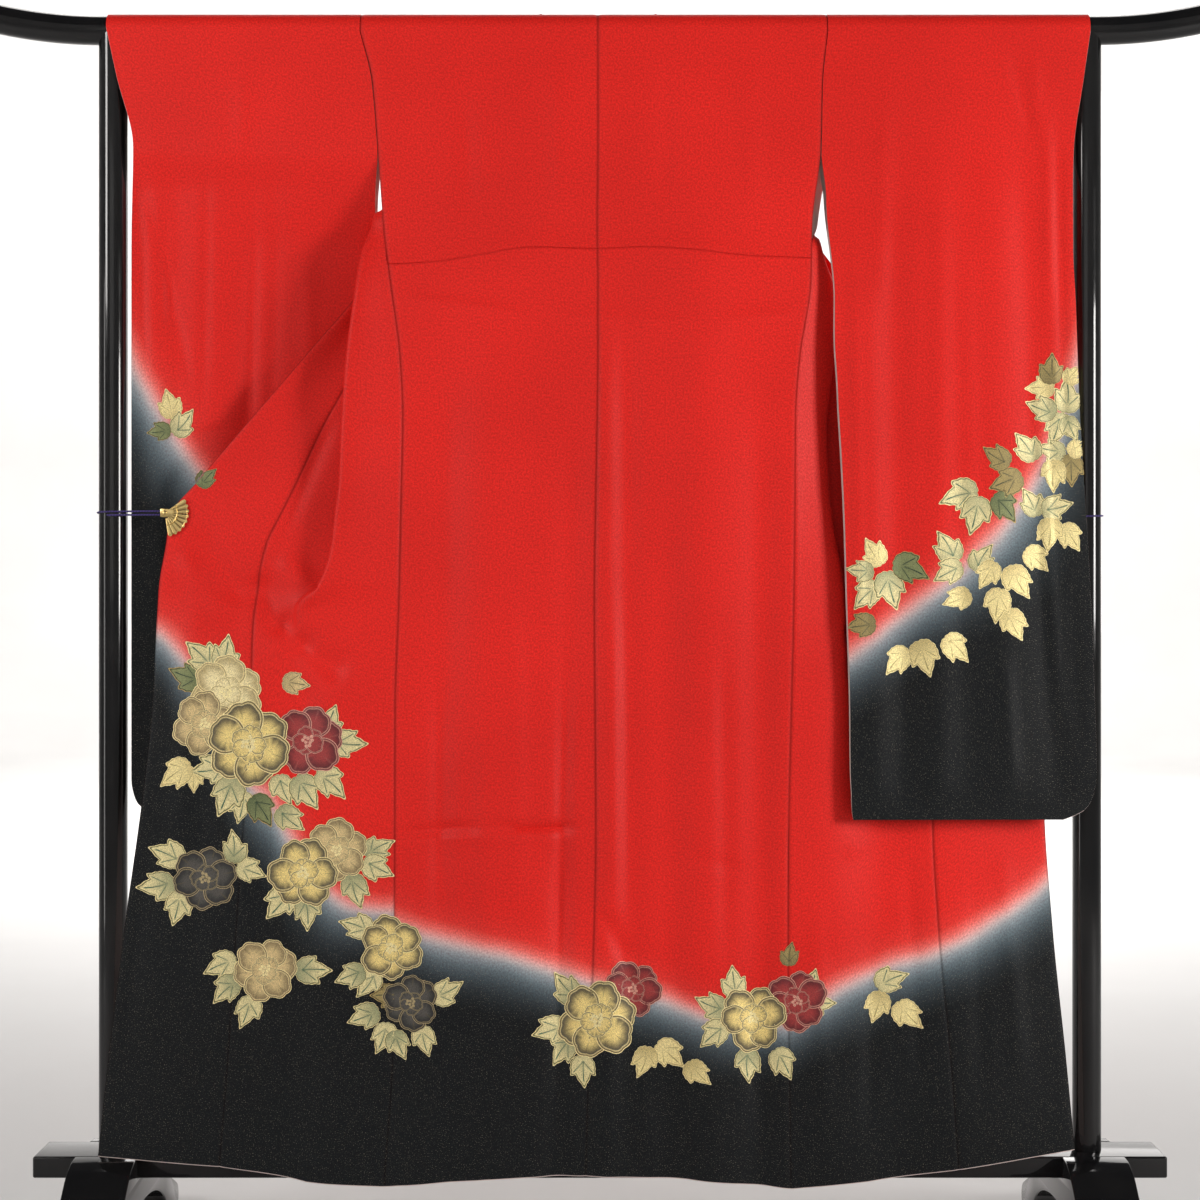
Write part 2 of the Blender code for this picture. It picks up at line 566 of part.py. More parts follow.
def make_sleeves():
    rows = hanging_rows(SLEEVE_HANG)
    half = SEAM_GAP / 2
    for side in ("left", "right"):
        for layer in ("near", "far"):

            def point(across, down, side=side, layer=layer):
                return sleeve_point(side, layer, across, down)

            cloth_layer("sleeve_%s_%s" % (side, layer), point, SLEEVE_ACROSS, rows, (0, 0, half, 0))


def outer_layer_depth(side, x, height):
    """Depth of the front's outermost stretch, between its valley and its edge, at this place."""
    shares = np.linspace(VALLEY_KNOT, 1.0, 25)
    hem = LEFT_HEM if side == "left" else RIGHT_HEM
    drop = RAIL_HEIGHT - height
    downs = [1 + drop / (RAIL_HEIGHT - hem_at(hem, share)) for share in shares]
    row = np.array([front_point(side, share, down) for share, down in zip(shares, downs)])
    order = np.argsort(row[:, 0])
    return float(np.interp(x, row[order, 0], row[order, 1]))


def collar_side_line(side):
    """The sewn edge and the free edge of the collar from the clip up to the neck."""
    toward = 1 if side == "left" else -1
    stations = []
    for height in COLLAR_STATIONS:
        row = FRONTS[side].at(height)
        edge = (row["edge_x"], height)
        turn = ease((COLLAR_LEAN_TOP - height) / COLLAR_LEAN_DROP)
        lean = math.radians(COLLAR_LEAN_DEGREES * turn)
        direction = (toward * math.sin(lean), -math.cos(lean))
        line = []
        for share in COLLAR_ACROSS:
            x = edge[0] + direction[0] * COLLAR_WIDTH * share
            z = edge[1] + direction[1] * COLLAR_WIDTH * share
            depth = max(outer_layer_depth(side, x, z), row["edge_y"] - COLLAR_LIFT * share)
            line.append((x, depth + COLLAR_BEHIND, z))
        stations.append(line)
    return stations


def neck_line(x, radius, start_turn):
    """The collar from the crest down the far side of the rail."""
    line = []
    for share in COLLAR_ACROSS:
        turn = start_turn + (1 - start_turn) * min(share * 2, 1)
        angle = math.pi / 2 * (1 - turn)
        drop = max(share - 0.5, 0) * NECK_DROP * 2
        line.append((x, radius * math.cos(angle), RAIL_HEIGHT + radius * math.sin(angle) - drop))
    return line


def make_collar():
    """One band: up the left front, across the back of the neck behind the rail, and down the right front."""
    neck = [neck_line(*row) for row in NECK_ROWS]
    stations = collar_side_line("left") + neck + collar_side_line("right")[::-1]
    places = np.array(stations)
    along = np.gradient(places, axis=0)
    out = np.gradient(places, axis=1)
    normals = np.cross(along, out)
    normals /= np.linalg.norm(normals, axis=-1, keepdims=True)
    wall_from("collar", places, normals)


def round_bar(shape, path, radius, sides):
    """A bar of circular section along a path that lies in one upright plane facing Y."""
    rings = []
    for index, place in enumerate(path):
        before = path[max(index - 1, 0)]
        after = path[min(index + 1, len(path) - 1)]
        ahead = (after - before).normalized()
        across = Vector((0, 1, 0))
        up = across.cross(ahead)
        ring = []
        for step in range(sides):
            angle = 2 * math.pi * step / sides
            ring.append(shape.verts.new(place + (up * math.sin(angle) + across * math.cos(angle)) * radius))
        rings.append(ring)
    for first, second in zip(rings, rings[1:]):
        for step in range(sides):
            following = (step + 1) % sides
            shape.faces.new((first[step], first[following], second[following], second[step]))
    for ring in (rings[0], rings[-1]):
        shape.faces.new(ring)


def make_rail():
    shape = bmesh.new()
    right = [Vector((RAIL_STRAIGHT_HALF, 0, RAIL_HEIGHT))]
    most_turn = math.asin((RAIL_HALF - RAIL_STRAIGHT_HALF) / RAIL_BEND_RADIUS)
    for step in range(1, RAIL_BEND_STEPS + 1):
        turn = most_turn * step / RAIL_BEND_STEPS
        rise = RAIL_BEND_RADIUS * (1 - math.cos(turn))
        reach = RAIL_STRAIGHT_HALF + RAIL_BEND_RADIUS * math.sin(turn)
        right.append(Vector((reach, 0, RAIL_HEIGHT + rise)))
    left = [Vector((-place.x, 0, place.z)) for place in reversed(right)]
    round_bar(shape, left + right, RAIL_RADIUS, ROUND_SIDES)
    caps = [face for face in shape.faces if len(face.verts) > 4]
    rims = [edge for cap in caps for edge in cap.edges]
    bmesh.ops.bevel(shape, geom=rims, offset=RAIL_END_ROUND, segments=2, affect="EDGES", profile=0.5)
    object_from("rail", shape, "lacquer", 40)


def rail_cutter():
    """The rail's shape with a seam's clearance, which hollows the top of each post."""
    shape = bmesh.new()
    reach = RAIL_STRAIGHT_HALF + SADDLE_PAST_STRAIGHT
    ends = (Vector((-reach, 0, RAIL_HEIGHT)), Vector((reach, 0, RAIL_HEIGHT)))
    round_bar(shape, ends, (RAIL_RADIUS + SADDLE_CLEAR) / math.cos(math.pi / ROUND_SIDES), ROUND_SIDES)
    cutter = object_from("rail_cutter", shape, "lacquer")
    cutter.hide_render = True
    cutter.display_type = "WIRE"
    return cutter


def make_posts(cutter):
    foot = BEAM_TOP + SEAM_GAP
    top = RAIL_HEIGHT - POST_BELOW_RAIL_CENTRE
    radii = {"radius1": POST_RADIUS, "radius2": POST_RADIUS}
    for side, name in ((-1, "post_left"), (1, "post_right")):
        shape = bmesh.new()
        bmesh.ops.create_cone(shape, cap_ends=True, segments=ROUND_SIDES, depth=top - foot, **radii)
        bmesh.ops.translate(shape, verts=shape.verts, vec=(side * POST_X, 0, (top + foot) / 2))
        post = object_from(name, shape, "lacquer", 40)
        saddle = post.modifiers.new("saddle", "BOOLEAN")
        saddle.operation = "DIFFERENCE"
        saddle.object = cutter


def make_beam():
    shape = bmesh.new()
    bmesh.ops.create_cube(shape, size=1)
    size = (2 * BEAM_HALF, 2 * BEAM_HALF_DEPTH, BEAM_TOP - BEAM_BOTTOM)
    bmesh.ops.scale(shape, verts=shape.verts, vec=size)
    bmesh.ops.translate(shape, verts=shape.verts, vec=(0, 0, (BEAM_TOP + BEAM_BOTTOM) / 2))
    edges = shape.edges[:]
    bmesh.ops.bevel(shape, geom=edges, offset=BEAM_ROUND, segments=1, affect="EDGES", profile=0.5)
    object_from("beam", shape, "lacquer")


def foot_outline():
    clear = SEAM_GAP
    housing = BEAM_HALF_DEPTH + clear
    half = [(housing, BEAM_BOTTOM - clear), (housing, BEAM_TOP)] + list(FOOT_PROFILE)
    arch = []
    for step in range(ARCH_STEPS + 1):
        angle = math.pi / 2 * step / ARCH_STEPS
        arch.append((FOOT_ARCH_HALF * math.cos(angle), FOOT_ARCH_HEIGHT * math.sin(angle)))
    right = half + arch
    left = [(-depth, height) for depth, height in reversed(right[:-1])]
    return right + left


def make_feet():
    for side, name in ((-1, "foot_left"), (1, "foot_right")):
        shape = bmesh.new()
        x = side * FOOT_X - FOOT_HALF_WIDTH
        outline = [shape.verts.new((x, depth, height)) for depth, height in foot_outline()]
        board = shape.faces.new(outline)
        swept = bmesh.ops.extrude_face_region(shape, geom=[board])
        moved = [piece for piece in swept["geom"] if isinstance(piece, bmesh.types.BMVert)]
        bmesh.ops.translate(shape, verts=moved, vec=(2 * FOOT_HALF_WIDTH, 0, 0))
        object_from(name, shape, "lacquer", 40)


def add_box(shape, low, high):
    made = bmesh.ops.create_cube(shape, size=1)["verts"]
    size = [top - bottom for bottom, top in zip(low, high)]
    middle = [(top + bottom) / 2 for bottom, top in zip(low, high)]
    bmesh.ops.scale(shape, verts=made, vec=size)
    bmesh.ops.translate(shape, verts=made, vec=middle)


def cloth_face(side, x, z):
    """Depth of the front's outer face near the clip, carried on level past the edge."""
    edge = FRONTS[side].at(z)
    beyond = x < edge["edge_x"] if side == "left" else x > edge["edge_x"]
    depth = edge["edge_y"] if beyond else outer_layer_depth(side, x, z)
    return depth - HALF_WALL


def add_fan(shape, side):
    """The open fan: wedges that rise and fall from rib to rib, a little off the cloth's face."""
    hub = CLIP_PLACES[side]
    toward = 1 if side == "left" else -1
    front, back = [], []
    rows = 2 * FAN_RIBS
    for step in range(rows + 1):
        angle = math.radians(FAN_FIRST_DEGREES + (FAN_LAST_DEGREES - FAN_FIRST_DEGREES) * step / rows)
        lift = FAN_RIB_RISE if step % 2 else 0.0
        for radius in (FAN_INNER, FAN_RADIUS):
            x = hub[0] + toward * radius * math.cos(angle)
            z = hub[1] + radius * math.sin(angle)
            face = cloth_face(side, x, z) - CLIP_CLEAR
            rise = lift * radius / FAN_RADIUS
            front.append(shape.verts.new((x, face - FAN_PLATE - rise, z)))
            back.append(shape.verts.new((x, face, z)))
    for step in range(rows):
        a, b, c, d = 2 * step, 2 * step + 1, 2 * step + 3, 2 * step + 2
        shape.faces.new((front[a], front[b], front[c], front[d]))
        shape.faces.new((back[d], back[c], back[b], back[a]))
        shape.faces.new((front[b], back[b], back[c], front[c]))
        shape.faces.new((front[a], front[d], back[d], back[a]))
    for end in (0, 2 * rows):
        shape.faces.new((front[end], back[end], back[end + 1], front[end + 1]))


def make_clip(side):
    hub = CLIP_PLACES[side]
    toward = 1 if side == "left" else -1
    shape = bmesh.new()
    add_fan(shape, side)
    clip = object_from("clip_" + side, shape, "gilt", 30)
    edge = FRONTS[side].at(hub[1] - KNUCKLE_HALF)["edge_x"]
    at_edge = cloth_face(side, edge, hub[1])
    face = min(at_edge, cloth_face(side, edge + toward * HUB_REACH, hub[1])) - CLIP_CLEAR
    behind_cloth = WALL + HALF_WALL + COLLAR_BEHIND + CLIP_CLEAR
    jaw = max(at_edge, cloth_face(side, edge + toward * JAW_REACH, hub[1])) + behind_cloth
    outside = hub[0] - toward * KNUCKLE_OUT
    knuckle = sorted((outside, edge - toward * KNUCKLE_IN))
    reach = sorted((outside, edge + toward * JAW_REACH))
    plate = sorted((outside, hub[0] + toward * HUB_REACH))
    knuckle_depths = (face - HUB_THICK / 2, jaw + JAW_THICK / 2)
    jaw_depths = (jaw, jaw + JAW_THICK)
    hub_depths = (face - HUB_THICK, face)
    blocks = []
    for label, wide, deep, half in (
        ("knuckle", knuckle, knuckle_depths, KNUCKLE_HALF),
        ("jaw", reach, jaw_depths, JAW_HALF),
        ("hub", plate, hub_depths, JAW_HALF),
    ):
        low = (wide[0], deep[0], hub[1] - half)
        high = (wide[1], deep[1], hub[1] + half)
        blocks.append((label, low, high))
    for label, low, high in blocks:
        block_shape = bmesh.new()
        add_box(block_shape, low, high)
        block = object_from("clip_%s_%s" % (side, label), block_shape, "gilt")
        block.hide_render = True
        block.display_type = "WIRE"
        join = clip.modifiers.new(label, "BOOLEAN")
        join.operation = "UNION"
        join.object = block


def cord_route(side):
    """Out from the clip's knuckle, once round the post, and back to the clip just below."""
    toward = 1 if side == "left" else -1
    hub = CLIP_PLACES[side]
    near = -1 if side == "left" else 1
    off_hub = KNUCKLE_OUT + CORD_OFF_CLIP
    start = (hub[0] - toward * off_hub, FRONTS[side].at(hub[1])["edge_y"] + CORD_BEHIND_EDGE)
    post = (-toward * POST_X, 0.0)
    turn_radius = POST_RADIUS + CORD_RADIUS + CORD_OFF_POST
    away = (start[0] - post[0], start[1] - post[1])
    distance = math.hypot(*away)
    facing = math.atan2(away[1], away[0])
    spread = math.acos(turn_radius / distance)
    rotation = near * toward
    first = facing + rotation * spread
    top = hub[1] + CORD_DROP / 2
    turn = []
    for step in range(CORD_TURN_STEPS + 1):
        share = step / CORD_TURN_STEPS
        angle = first + rotation * 2 * math.pi * share
        x = post[0] + turn_radius * math.cos(angle)
        y = post[1] + turn_radius * math.sin(angle)
        turn.append(Vector((x, y, top - CORD_DROP * share)))
    leaving = Vector((*start, top))
    returning = Vector((*start, top - CORD_DROP))
    shares = [step / CORD_STRAIGHT_STEPS for step in range(CORD_STRAIGHT_STEPS)]
    out = [leaving.lerp(turn[0], share) for share in shares]
    home = [returning.lerp(turn[-1], share) for share in reversed(shares)]
    return out + turn + home


def make_cord(side):
    data = bpy.data.curves.new("tie_" + side, "CURVE")
    data.dimensions = "3D"
    data.bevel_depth = CORD_RADIUS
    data.bevel_resolution = 2
    data.use_fill_caps = True
    route = cord_route(side)
    line = data.splines.new("POLY")
    line.points.add(len(route) - 1)
    for point, place in zip(line.points, route):
        point.co = (*place, 1)
    data.materials.append(material_for("tie_" + side, "cord"))
    made = bpy.data.objects.new("tie_" + side, data)
    bpy.context.scene.collection.objects.link(made)


clear_scene()
make_rail()
make_posts(rail_cutter())
make_beam()
make_feet()
make_back()
make_fronts()
make_sleeves()
make_collar()
for body_side in ("left", "right"):
    make_clip(body_side)
    make_cord(body_side)
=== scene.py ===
"""Furisode kimono seen from the back on its lacquered stand: dyed crepe, gilt flowers, clips and cords."""

import json
import math

import bmesh
import bpy
import numpy as np
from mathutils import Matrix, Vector
from mathutils.bvhtree import BVHTree

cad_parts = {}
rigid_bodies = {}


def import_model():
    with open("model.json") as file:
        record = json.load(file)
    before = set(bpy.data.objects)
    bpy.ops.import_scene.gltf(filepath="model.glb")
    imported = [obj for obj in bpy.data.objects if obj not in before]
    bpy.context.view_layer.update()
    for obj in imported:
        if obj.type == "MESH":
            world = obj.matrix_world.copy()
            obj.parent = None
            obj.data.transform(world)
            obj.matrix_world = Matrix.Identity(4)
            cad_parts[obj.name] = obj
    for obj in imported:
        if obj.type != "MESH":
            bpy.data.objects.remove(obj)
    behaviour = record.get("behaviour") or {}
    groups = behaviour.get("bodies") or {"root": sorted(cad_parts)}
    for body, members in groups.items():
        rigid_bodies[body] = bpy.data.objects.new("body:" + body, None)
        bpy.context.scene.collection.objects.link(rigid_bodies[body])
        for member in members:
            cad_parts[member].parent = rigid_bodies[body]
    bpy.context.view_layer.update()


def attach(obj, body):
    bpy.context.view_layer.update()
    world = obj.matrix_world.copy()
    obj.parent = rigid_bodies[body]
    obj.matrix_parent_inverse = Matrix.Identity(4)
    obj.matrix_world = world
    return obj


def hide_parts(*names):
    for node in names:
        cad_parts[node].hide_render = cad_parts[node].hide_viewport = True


for old in list(bpy.data.objects):
    bpy.data.objects.remove(old)
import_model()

# Stand
RAIL_HEIGHT = 1.7204
RAIL_RADIUS = 0.020
RAIL_STRAIGHT_HALF = 0.700
RAIL_HALF = 0.930
RAIL_BEND_RADIUS = 0.700
POST_X = 0.687
POST_RADIUS = 0.020
BEAM_HALF = 0.790
BEAM_TOP = 0.142
BEAM_BOTTOM = 0.112
BEAM_HALF_DEPTH = 0.040
FOOT_X = 0.687
FOOT_HALF_WIDTH = 0.044
FOOT_ARCH_HALF = 0.150
FOOT_ARCH_HEIGHT = 0.070
RAIL_END_ROUND = 0.006
POST_BELOW_RAIL_CENTRE = 0.004
SADDLE_CLEAR = 0.0004

# Half of a foot seen from the side, from the beam's housing down to the floor: depth and height.
FOOT_PROFILE = (
    (0.062, 0.1405), (0.085, 0.131), (0.108, 0.112), (0.130, 0.090), (0.155, 0.067), (0.180, 0.050),
    (0.205, 0.038), (0.222, 0.028), (0.228, 0.014), (0.226, 0.0),
)

# Cloth
WALL = 0.0016
HALF_WALL = WALL / 2
SEAM_GAP = 0.0003
CLOTH_OFF_RAIL = 0.0008
OVER_RAIL = RAIL_RADIUS + CLOTH_OFF_RAIL + HALF_WALL
RAIL_EASE = 0.110

# Folds fade in and out along their length, and near the borders of their layer.
FOLD_FADE_IN = 0.20
FOLD_FADE_OUT = 0.15
BACK_SIDE_FADE = 0.12
CUFF_FADE = 0.25
SLEEVE_INNER_FADE = 0.15
SLEEVE_FOOT_FADE = 0.06

# Collar: folded along its length, standing at the neck and leaning over behind each front's edge.
COLLAR_WIDTH = 0.055
COLLAR_BEHIND = 0.0056
COLLAR_LIFT = 0.004
COLLAR_LEAN_DEGREES = 53
COLLAR_LEAN_TOP = 1.70
COLLAR_LEAN_DROP = 0.16
NECK_DROP = 0.030

# Clips: a ribbed fan on the cloth's face, a knuckle past its edge and a jaw behind the collar.
FAN_RADIUS = 0.034
FAN_INNER = 0.008
FAN_RIBS = 9
FAN_FIRST_DEGREES = 37
FAN_LAST_DEGREES = -81
FAN_PLATE = 0.0014
FAN_RIB_RISE = 0.0009
CLIP_CLEAR = 0.0014
CLIP_PLACES = {"left": (-0.6065, 1.0385), "right": (0.6205, 1.0345)}
KNUCKLE_OUT = 0.006
KNUCKLE_IN = 0.003
KNUCKLE_HALF = 0.006
JAW_REACH = 0.020
JAW_THICK = 0.0016
JAW_HALF = 0.0055
HUB_REACH = 0.0125
HUB_THICK = 0.0018

# Tie cords: out from a clip's knuckle, once round the post and back.
CORD_RADIUS = 0.0012
CORD_OFF_CLIP = 0.0006
CORD_OFF_POST = 0.0006
CORD_BEHIND_EDGE = 0.001
CORD_DROP = 0.0050
CORD_TURN_STEPS = 44
CORD_STRAIGHT_STEPS = 24
CORD_SIDES = 12

# Each front row is one plan curve through five places, at these shares of its width.
FRONT_KNOTS = (0.0, 0.2, 0.4, 0.6, 1.0)
VALLEY_KNOT = FRONT_KNOTS[2]
SEAM_KNOT = FRONT_KNOTS[3]

# Where a front doubles back, it turns on at least this radius.
TURN_RADIUS = 0.003
STILL = 1e-9
SHARE_STEP = 0.001
CREASE_END_SHARE = 0.3

# The back's rows: where its seam and its two sides are at a height, and how far it stands before the rail.
BACK_COLUMNS = ("height", "seam", "left", "right", "depth")
BACK_ROWS = (
    (1.714, -0.003, -0.336, 0.319, -0.0216),
    (1.645, -0.003, -0.319, 0.312, -0.023),
    (1.547, -0.003, -0.311, 0.309, -0.024),
    (1.442, -0.004, -0.303, 0.297, -0.026),
    (1.363, -0.003, -0.293, 0.295, -0.028),
    (1.255, -0.003, -0.279, 0.279, -0.031),
    (1.174, -0.004, -0.275, 0.273, -0.034),
    (1.063, -0.006, -0.277, 0.272, -0.036),
    (0.917, -0.008, -0.280, 0.270, -0.040),
    (0.760, -0.007, -0.285, 0.266, -0.043),
    (0.591, -0.006, -0.285, 0.262, -0.047),
    (0.407, -0.010, -0.286, 0.261, -0.050),
    (0.294, -0.015, -0.287, 0.262, -0.053),
    (0.120, -0.020, -0.298, 0.264, -0.056),
)

# A front's side edge is given from the back's: how far out to its side and how far behind it lies.
FRONT_COLUMNS = (
    "height", "side_out", "side_behind", "ridge_x", "ridge_y", "valley_x", "valley_y",
    "seam_x", "seam_y", "edge_x", "edge_y",
)
LEFT_FRONT_ROWS = (
    (1.727, 0.0, 0.0432, -0.285, 0.0216, -0.213, 0.0216, -0.085, 0.0216, -0.085, 0.0216),
    (1.659, 0.0, 0.045, -0.263, 0.022, -0.163, 0.022, -0.143, 0.034, -0.143, 0.034),
    (1.559, 0.0, 0.045, -0.263, 0.018, -0.198, 0.018, -0.210, 0.036, -0.210, 0.036),
    (1.497, 0.002, 0.031, -0.283, 0.010, -0.202, 0.018, -0.252, 0.034, -0.252, 0.034),
    (1.447, 0.0012, 0.0, -0.316, -0.012, -0.180, 0.018, -0.267, 0.031, -0.283, 0.030),
    (1.395, 0.0012, 0.0, -0.334, -0.030, -0.209, 0.016, -0.282, 0.026, -0.316, 0.020),
    (1.339, 0.0012, 0.0, -0.342, -0.040, -0.231, 0.012, -0.300, 0.016, -0.351, 0.004),
    (1.276, 0.0012, 0.0, -0.350, -0.046, -0.258, 0.000, -0.330, 0.006, -0.402, -0.008),
    (1.214, 0.0012, 0.0, -0.355, -0.050, -0.281, -0.012, -0.361, -0.006, -0.453, -0.018),
    (1.159, 0.0012, 0.0, -0.358, -0.052, -0.299, -0.020, -0.390, -0.018, -0.499, -0.024),
    (1.084, 0.0012, 0.0, -0.361, -0.054, -0.319, -0.028, -0.424, -0.026, -0.561, -0.030),
    (1.033, 0.0012, 0.0, -0.367, -0.055, -0.336, -0.030, -0.448, -0.032, -0.600, -0.034),
    (0.994, 0.0012, 0.0, -0.371, -0.056, -0.350, -0.031, -0.466, -0.034, -0.605, -0.036),
    (0.939, 0.0012, 0.0, -0.386, -0.058, -0.382, -0.036, -0.478, -0.034, -0.614, -0.038),
    (0.905, 0.0012, 0.0, -0.404, -0.050, -0.432, -0.043, -0.482, -0.037, -0.616, -0.039),
    (0.865, 0.0012, 0.0, -0.398, -0.050, -0.440, -0.046, -0.484, -0.040, -0.618, -0.040),
    (0.778, 0.0012, 0.0, -0.367, -0.052, -0.418, -0.040, -0.485, -0.046, -0.622, -0.042),
    (0.663, 0.0012, 0.0, -0.353, -0.052, -0.417, -0.045, -0.491, -0.048, -0.633, -0.046),
    (0.459, 0.0012, 0.0, -0.353, -0.055, -0.419, -0.049, -0.504, -0.053, -0.660, -0.050),
    (0.280, 0.0012, 0.0, -0.366, -0.058, -0.432, -0.052, -0.515, -0.057, -0.681, -0.054),
    (0.134, 0.0012, 0.0, -0.373, -0.061, -0.440, -0.054, -0.526, -0.060, -0.696, -0.056),
)
RIGHT_FRONT_ROWS = (
    (1.727, 0.0, 0.0432, 0.270, 0.0216, 0.206, 0.0216, 0.080, 0.0216, 0.080, 0.0216),
    (1.659, 0.0, 0.045, 0.263, 0.022, 0.154, 0.022, 0.134, 0.034, 0.134, 0.034),
    (1.559, 0.0, 0.045, 0.263, 0.020, 0.199, 0.018, 0.211, 0.036, 0.211, 0.036),
    (1.498, 0.014, 0.047, 0.276, 0.020, 0.204, 0.020, 0.254, 0.036, 0.254, 0.036),
    (1.449, 0.012, 0.032, 0.290, 0.012, 0.190, 0.020, 0.277, 0.034, 0.293, 0.034),
    (1.411, 0.0012, 0.0, 0.306, -0.006, 0.188, 0.020, 0.291, 0.032, 0.320, 0.032),
    (1.341, 0.0012, 0.0, 0.334, 0.008, 0.227, 0.020, 0.322, 0.030, 0.375, 0.033),
    (1.279, 0.0012, 0.0, 0.333, 0.006, 0.245, 0.018, 0.349, 0.029, 0.424, 0.034),
    (1.216, 0.0012, 0.0, 0.325, 0.002, 0.254, 0.015, 0.376, 0.027, 0.473, 0.034),
    (1.161, 0.0012, 0.0, 0.319, -0.004, 0.261, 0.010, 0.400, 0.023, 0.515, 0.032),
    (1.086, 0.0012, 0.0, 0.321, -0.008, 0.278, 0.004, 0.431, 0.018, 0.573, 0.029),
    (1.034, 0.0012, 0.0, 0.326, -0.012, 0.297, 0.000, 0.457, 0.014, 0.613, 0.027),
    (0.917, 0.0012, 0.0, 0.342, -0.020, 0.326, 0.000, 0.467, 0.004, 0.617, 0.017),
    (0.850, 0.0012, 0.0, 0.340, -0.028, 0.354, -0.002, 0.466, -0.004, 0.619, 0.010),
    (0.777, 0.0012, 0.0, 0.332, -0.036, 0.394, -0.010, 0.465, -0.014, 0.622, 0.001),
    (0.603, 0.0012, 0.0, 0.323, -0.042, 0.392, -0.024, 0.465, -0.029, 0.624, -0.018),
    (0.458, 0.0012, 0.0, 0.322, -0.048, 0.393, -0.038, 0.471, -0.043, 0.631, -0.036),
    (0.279, 0.0012, 0.0, 0.325, -0.056, 0.402, -0.049, 0.486, -0.054, 0.647, -0.048),
    (0.133, 0.0012, 0.0, 0.332, -0.059, 0.411, -0.053, 0.496, -0.058, 0.660, -0.052),
)

# The near layer of a sleeve is on the viewer's side of the rail, the far layer behind it.
# Its inner edge is given from the back's side edge: how far out from it the sleeve ends.
SLEEVE_COLUMNS = (
    "height", "cuff_x", "far_cuff_x", "inner_out", "near_cuff_y", "near_inner_y", "far_cuff_y", "far_inner_y",
)
LEFT_SLEEVE_ROWS = (
    (1.720, -0.692, -0.692, 0.0006, -0.0216, -0.0216, 0.0216, 0.0216),
    (1.651, -0.677, -0.677, 0.0010, -0.0216, -0.023, 0.0216, 0.022),
    (1.552, -0.654, -0.654, 0.0006, -0.0210, -0.024, 0.0210, 0.0215),
    (1.489, -0.660, -0.660, 0.010, -0.0013, -0.004, 0.0013, 0.032),
    (1.411, -0.661, -0.661, 0.020, -0.0013, 0.028, 0.0013, 0.048),
    (1.341, -0.661, -0.661, 0.031, -0.0013, 0.032, 0.0013, 0.052),
    (1.199, -0.661, -0.661, 0.044, -0.0013, 0.031, 0.0013, 0.050),
    (1.041, -0.661, -0.661, 0.040, -0.0013, 0.032, 0.0013, 0.050),
    (0.846, -0.661, -0.661, 0.035, -0.0013, 0.028, 0.0013, 0.044),
    (0.663, -0.661, -0.661, 0.031, -0.0013, 0.014, 0.0013, 0.026),
    (0.635, -0.655, -0.655, 0.032, -0.0013, 0.011, 0.0013, 0.020),
    (0.616, -0.635, -0.635, 0.034, -0.0013, 0.007, 0.0013, 0.012),
    (0.604, -0.604, -0.604, 0.037, -0.0013, 0.004, 0.0013, 0.007),
)
RIGHT_SLEEVE_ROWS = (
    (1.714, 0.687, 0.680, 0.0006, -0.0216, -0.0216, 0.0216, 0.0216),
    (1.645, 0.677, 0.661, 0.0006, -0.0220, -0.023, 0.0216, 0.022),
    (1.547, 0.663, 0.656, 0.0012, -0.024, -0.024, 0.006, 0.0205),
    (1.484, 0.661, 0.661, 0.015, -0.0276, -0.025, -0.025, 0.008),
    (1.406, 0.661, 0.661, 0.026, -0.0286, -0.032, -0.026, -0.016),
    (1.336, 0.664, 0.664, 0.035, -0.0306, -0.036, -0.028, -0.020),
    (1.196, 0.668, 0.668, 0.058, -0.0346, -0.039, -0.032, -0.020),
    (1.039, 0.676, 0.676, 0.068, -0.0396, -0.044, -0.037, -0.025),
    (0.917, 0.682, 0.682, 0.073, -0.0436, -0.048, -0.041, -0.030),
    (0.778, 0.686, 0.686, 0.080, -0.0486, -0.053, -0.046, -0.038),
    (0.679, 0.688, 0.688, 0.083, -0.0526, -0.057, -0.050, -0.046),
    (0.647, 0.683, 0.683, 0.085, -0.0536, -0.058, -0.051, -0.050),
    (0.625, 0.669, 0.669, 0.086, -0.0546, -0.0585, -0.052, -0.053),
    (0.613, 0.640, 0.640, 0.088, -0.0556, -0.059, -0.053, -0.056),
)

# Soft ridges (positive) and troughs (negative) that run down a layer from top to foot.
# Columns: top x, top height, foot x, foot height, half width and rise.
BACK_FOLDS = (
    (0.008, 1.40, 0.010, 0.10, 0.016, 0.004),
    (0.036, 1.40, 0.046, 0.30, 0.018, -0.005),
    (-0.040, 1.20, -0.046, 0.50, 0.022, -0.005),
    (-0.150, 1.40, -0.160, 0.10, 0.040, 0.006),
    (-0.216, 1.25, -0.222, 0.50, 0.026, -0.006),
    (0.140, 1.55, 0.150, 0.10, 0.038, 0.006),
    (0.225, 1.30, 0.222, 0.10, 0.026, -0.006),
    (-0.052, 0.60, -0.060, 0.10, 0.022, -0.007),
    (0.090, 1.10, 0.100, 0.10, 0.026, -0.004),
    (-0.240, 0.60, -0.250, 0.10, 0.030, 0.004),
)
LEFT_SLEEVE_FOLDS = (
    (-0.640, 1.62, -0.620, 1.10, 0.022, 0.004),
    (-0.606, 1.55, -0.600, 0.70, 0.016, -0.004),
    (-0.545, 1.62, -0.540, 0.70, 0.034, 0.005),
    (-0.500, 1.62, -0.500, 0.80, 0.018, -0.003),
    (-0.420, 1.60, -0.430, 0.70, 0.045, 0.003),
)
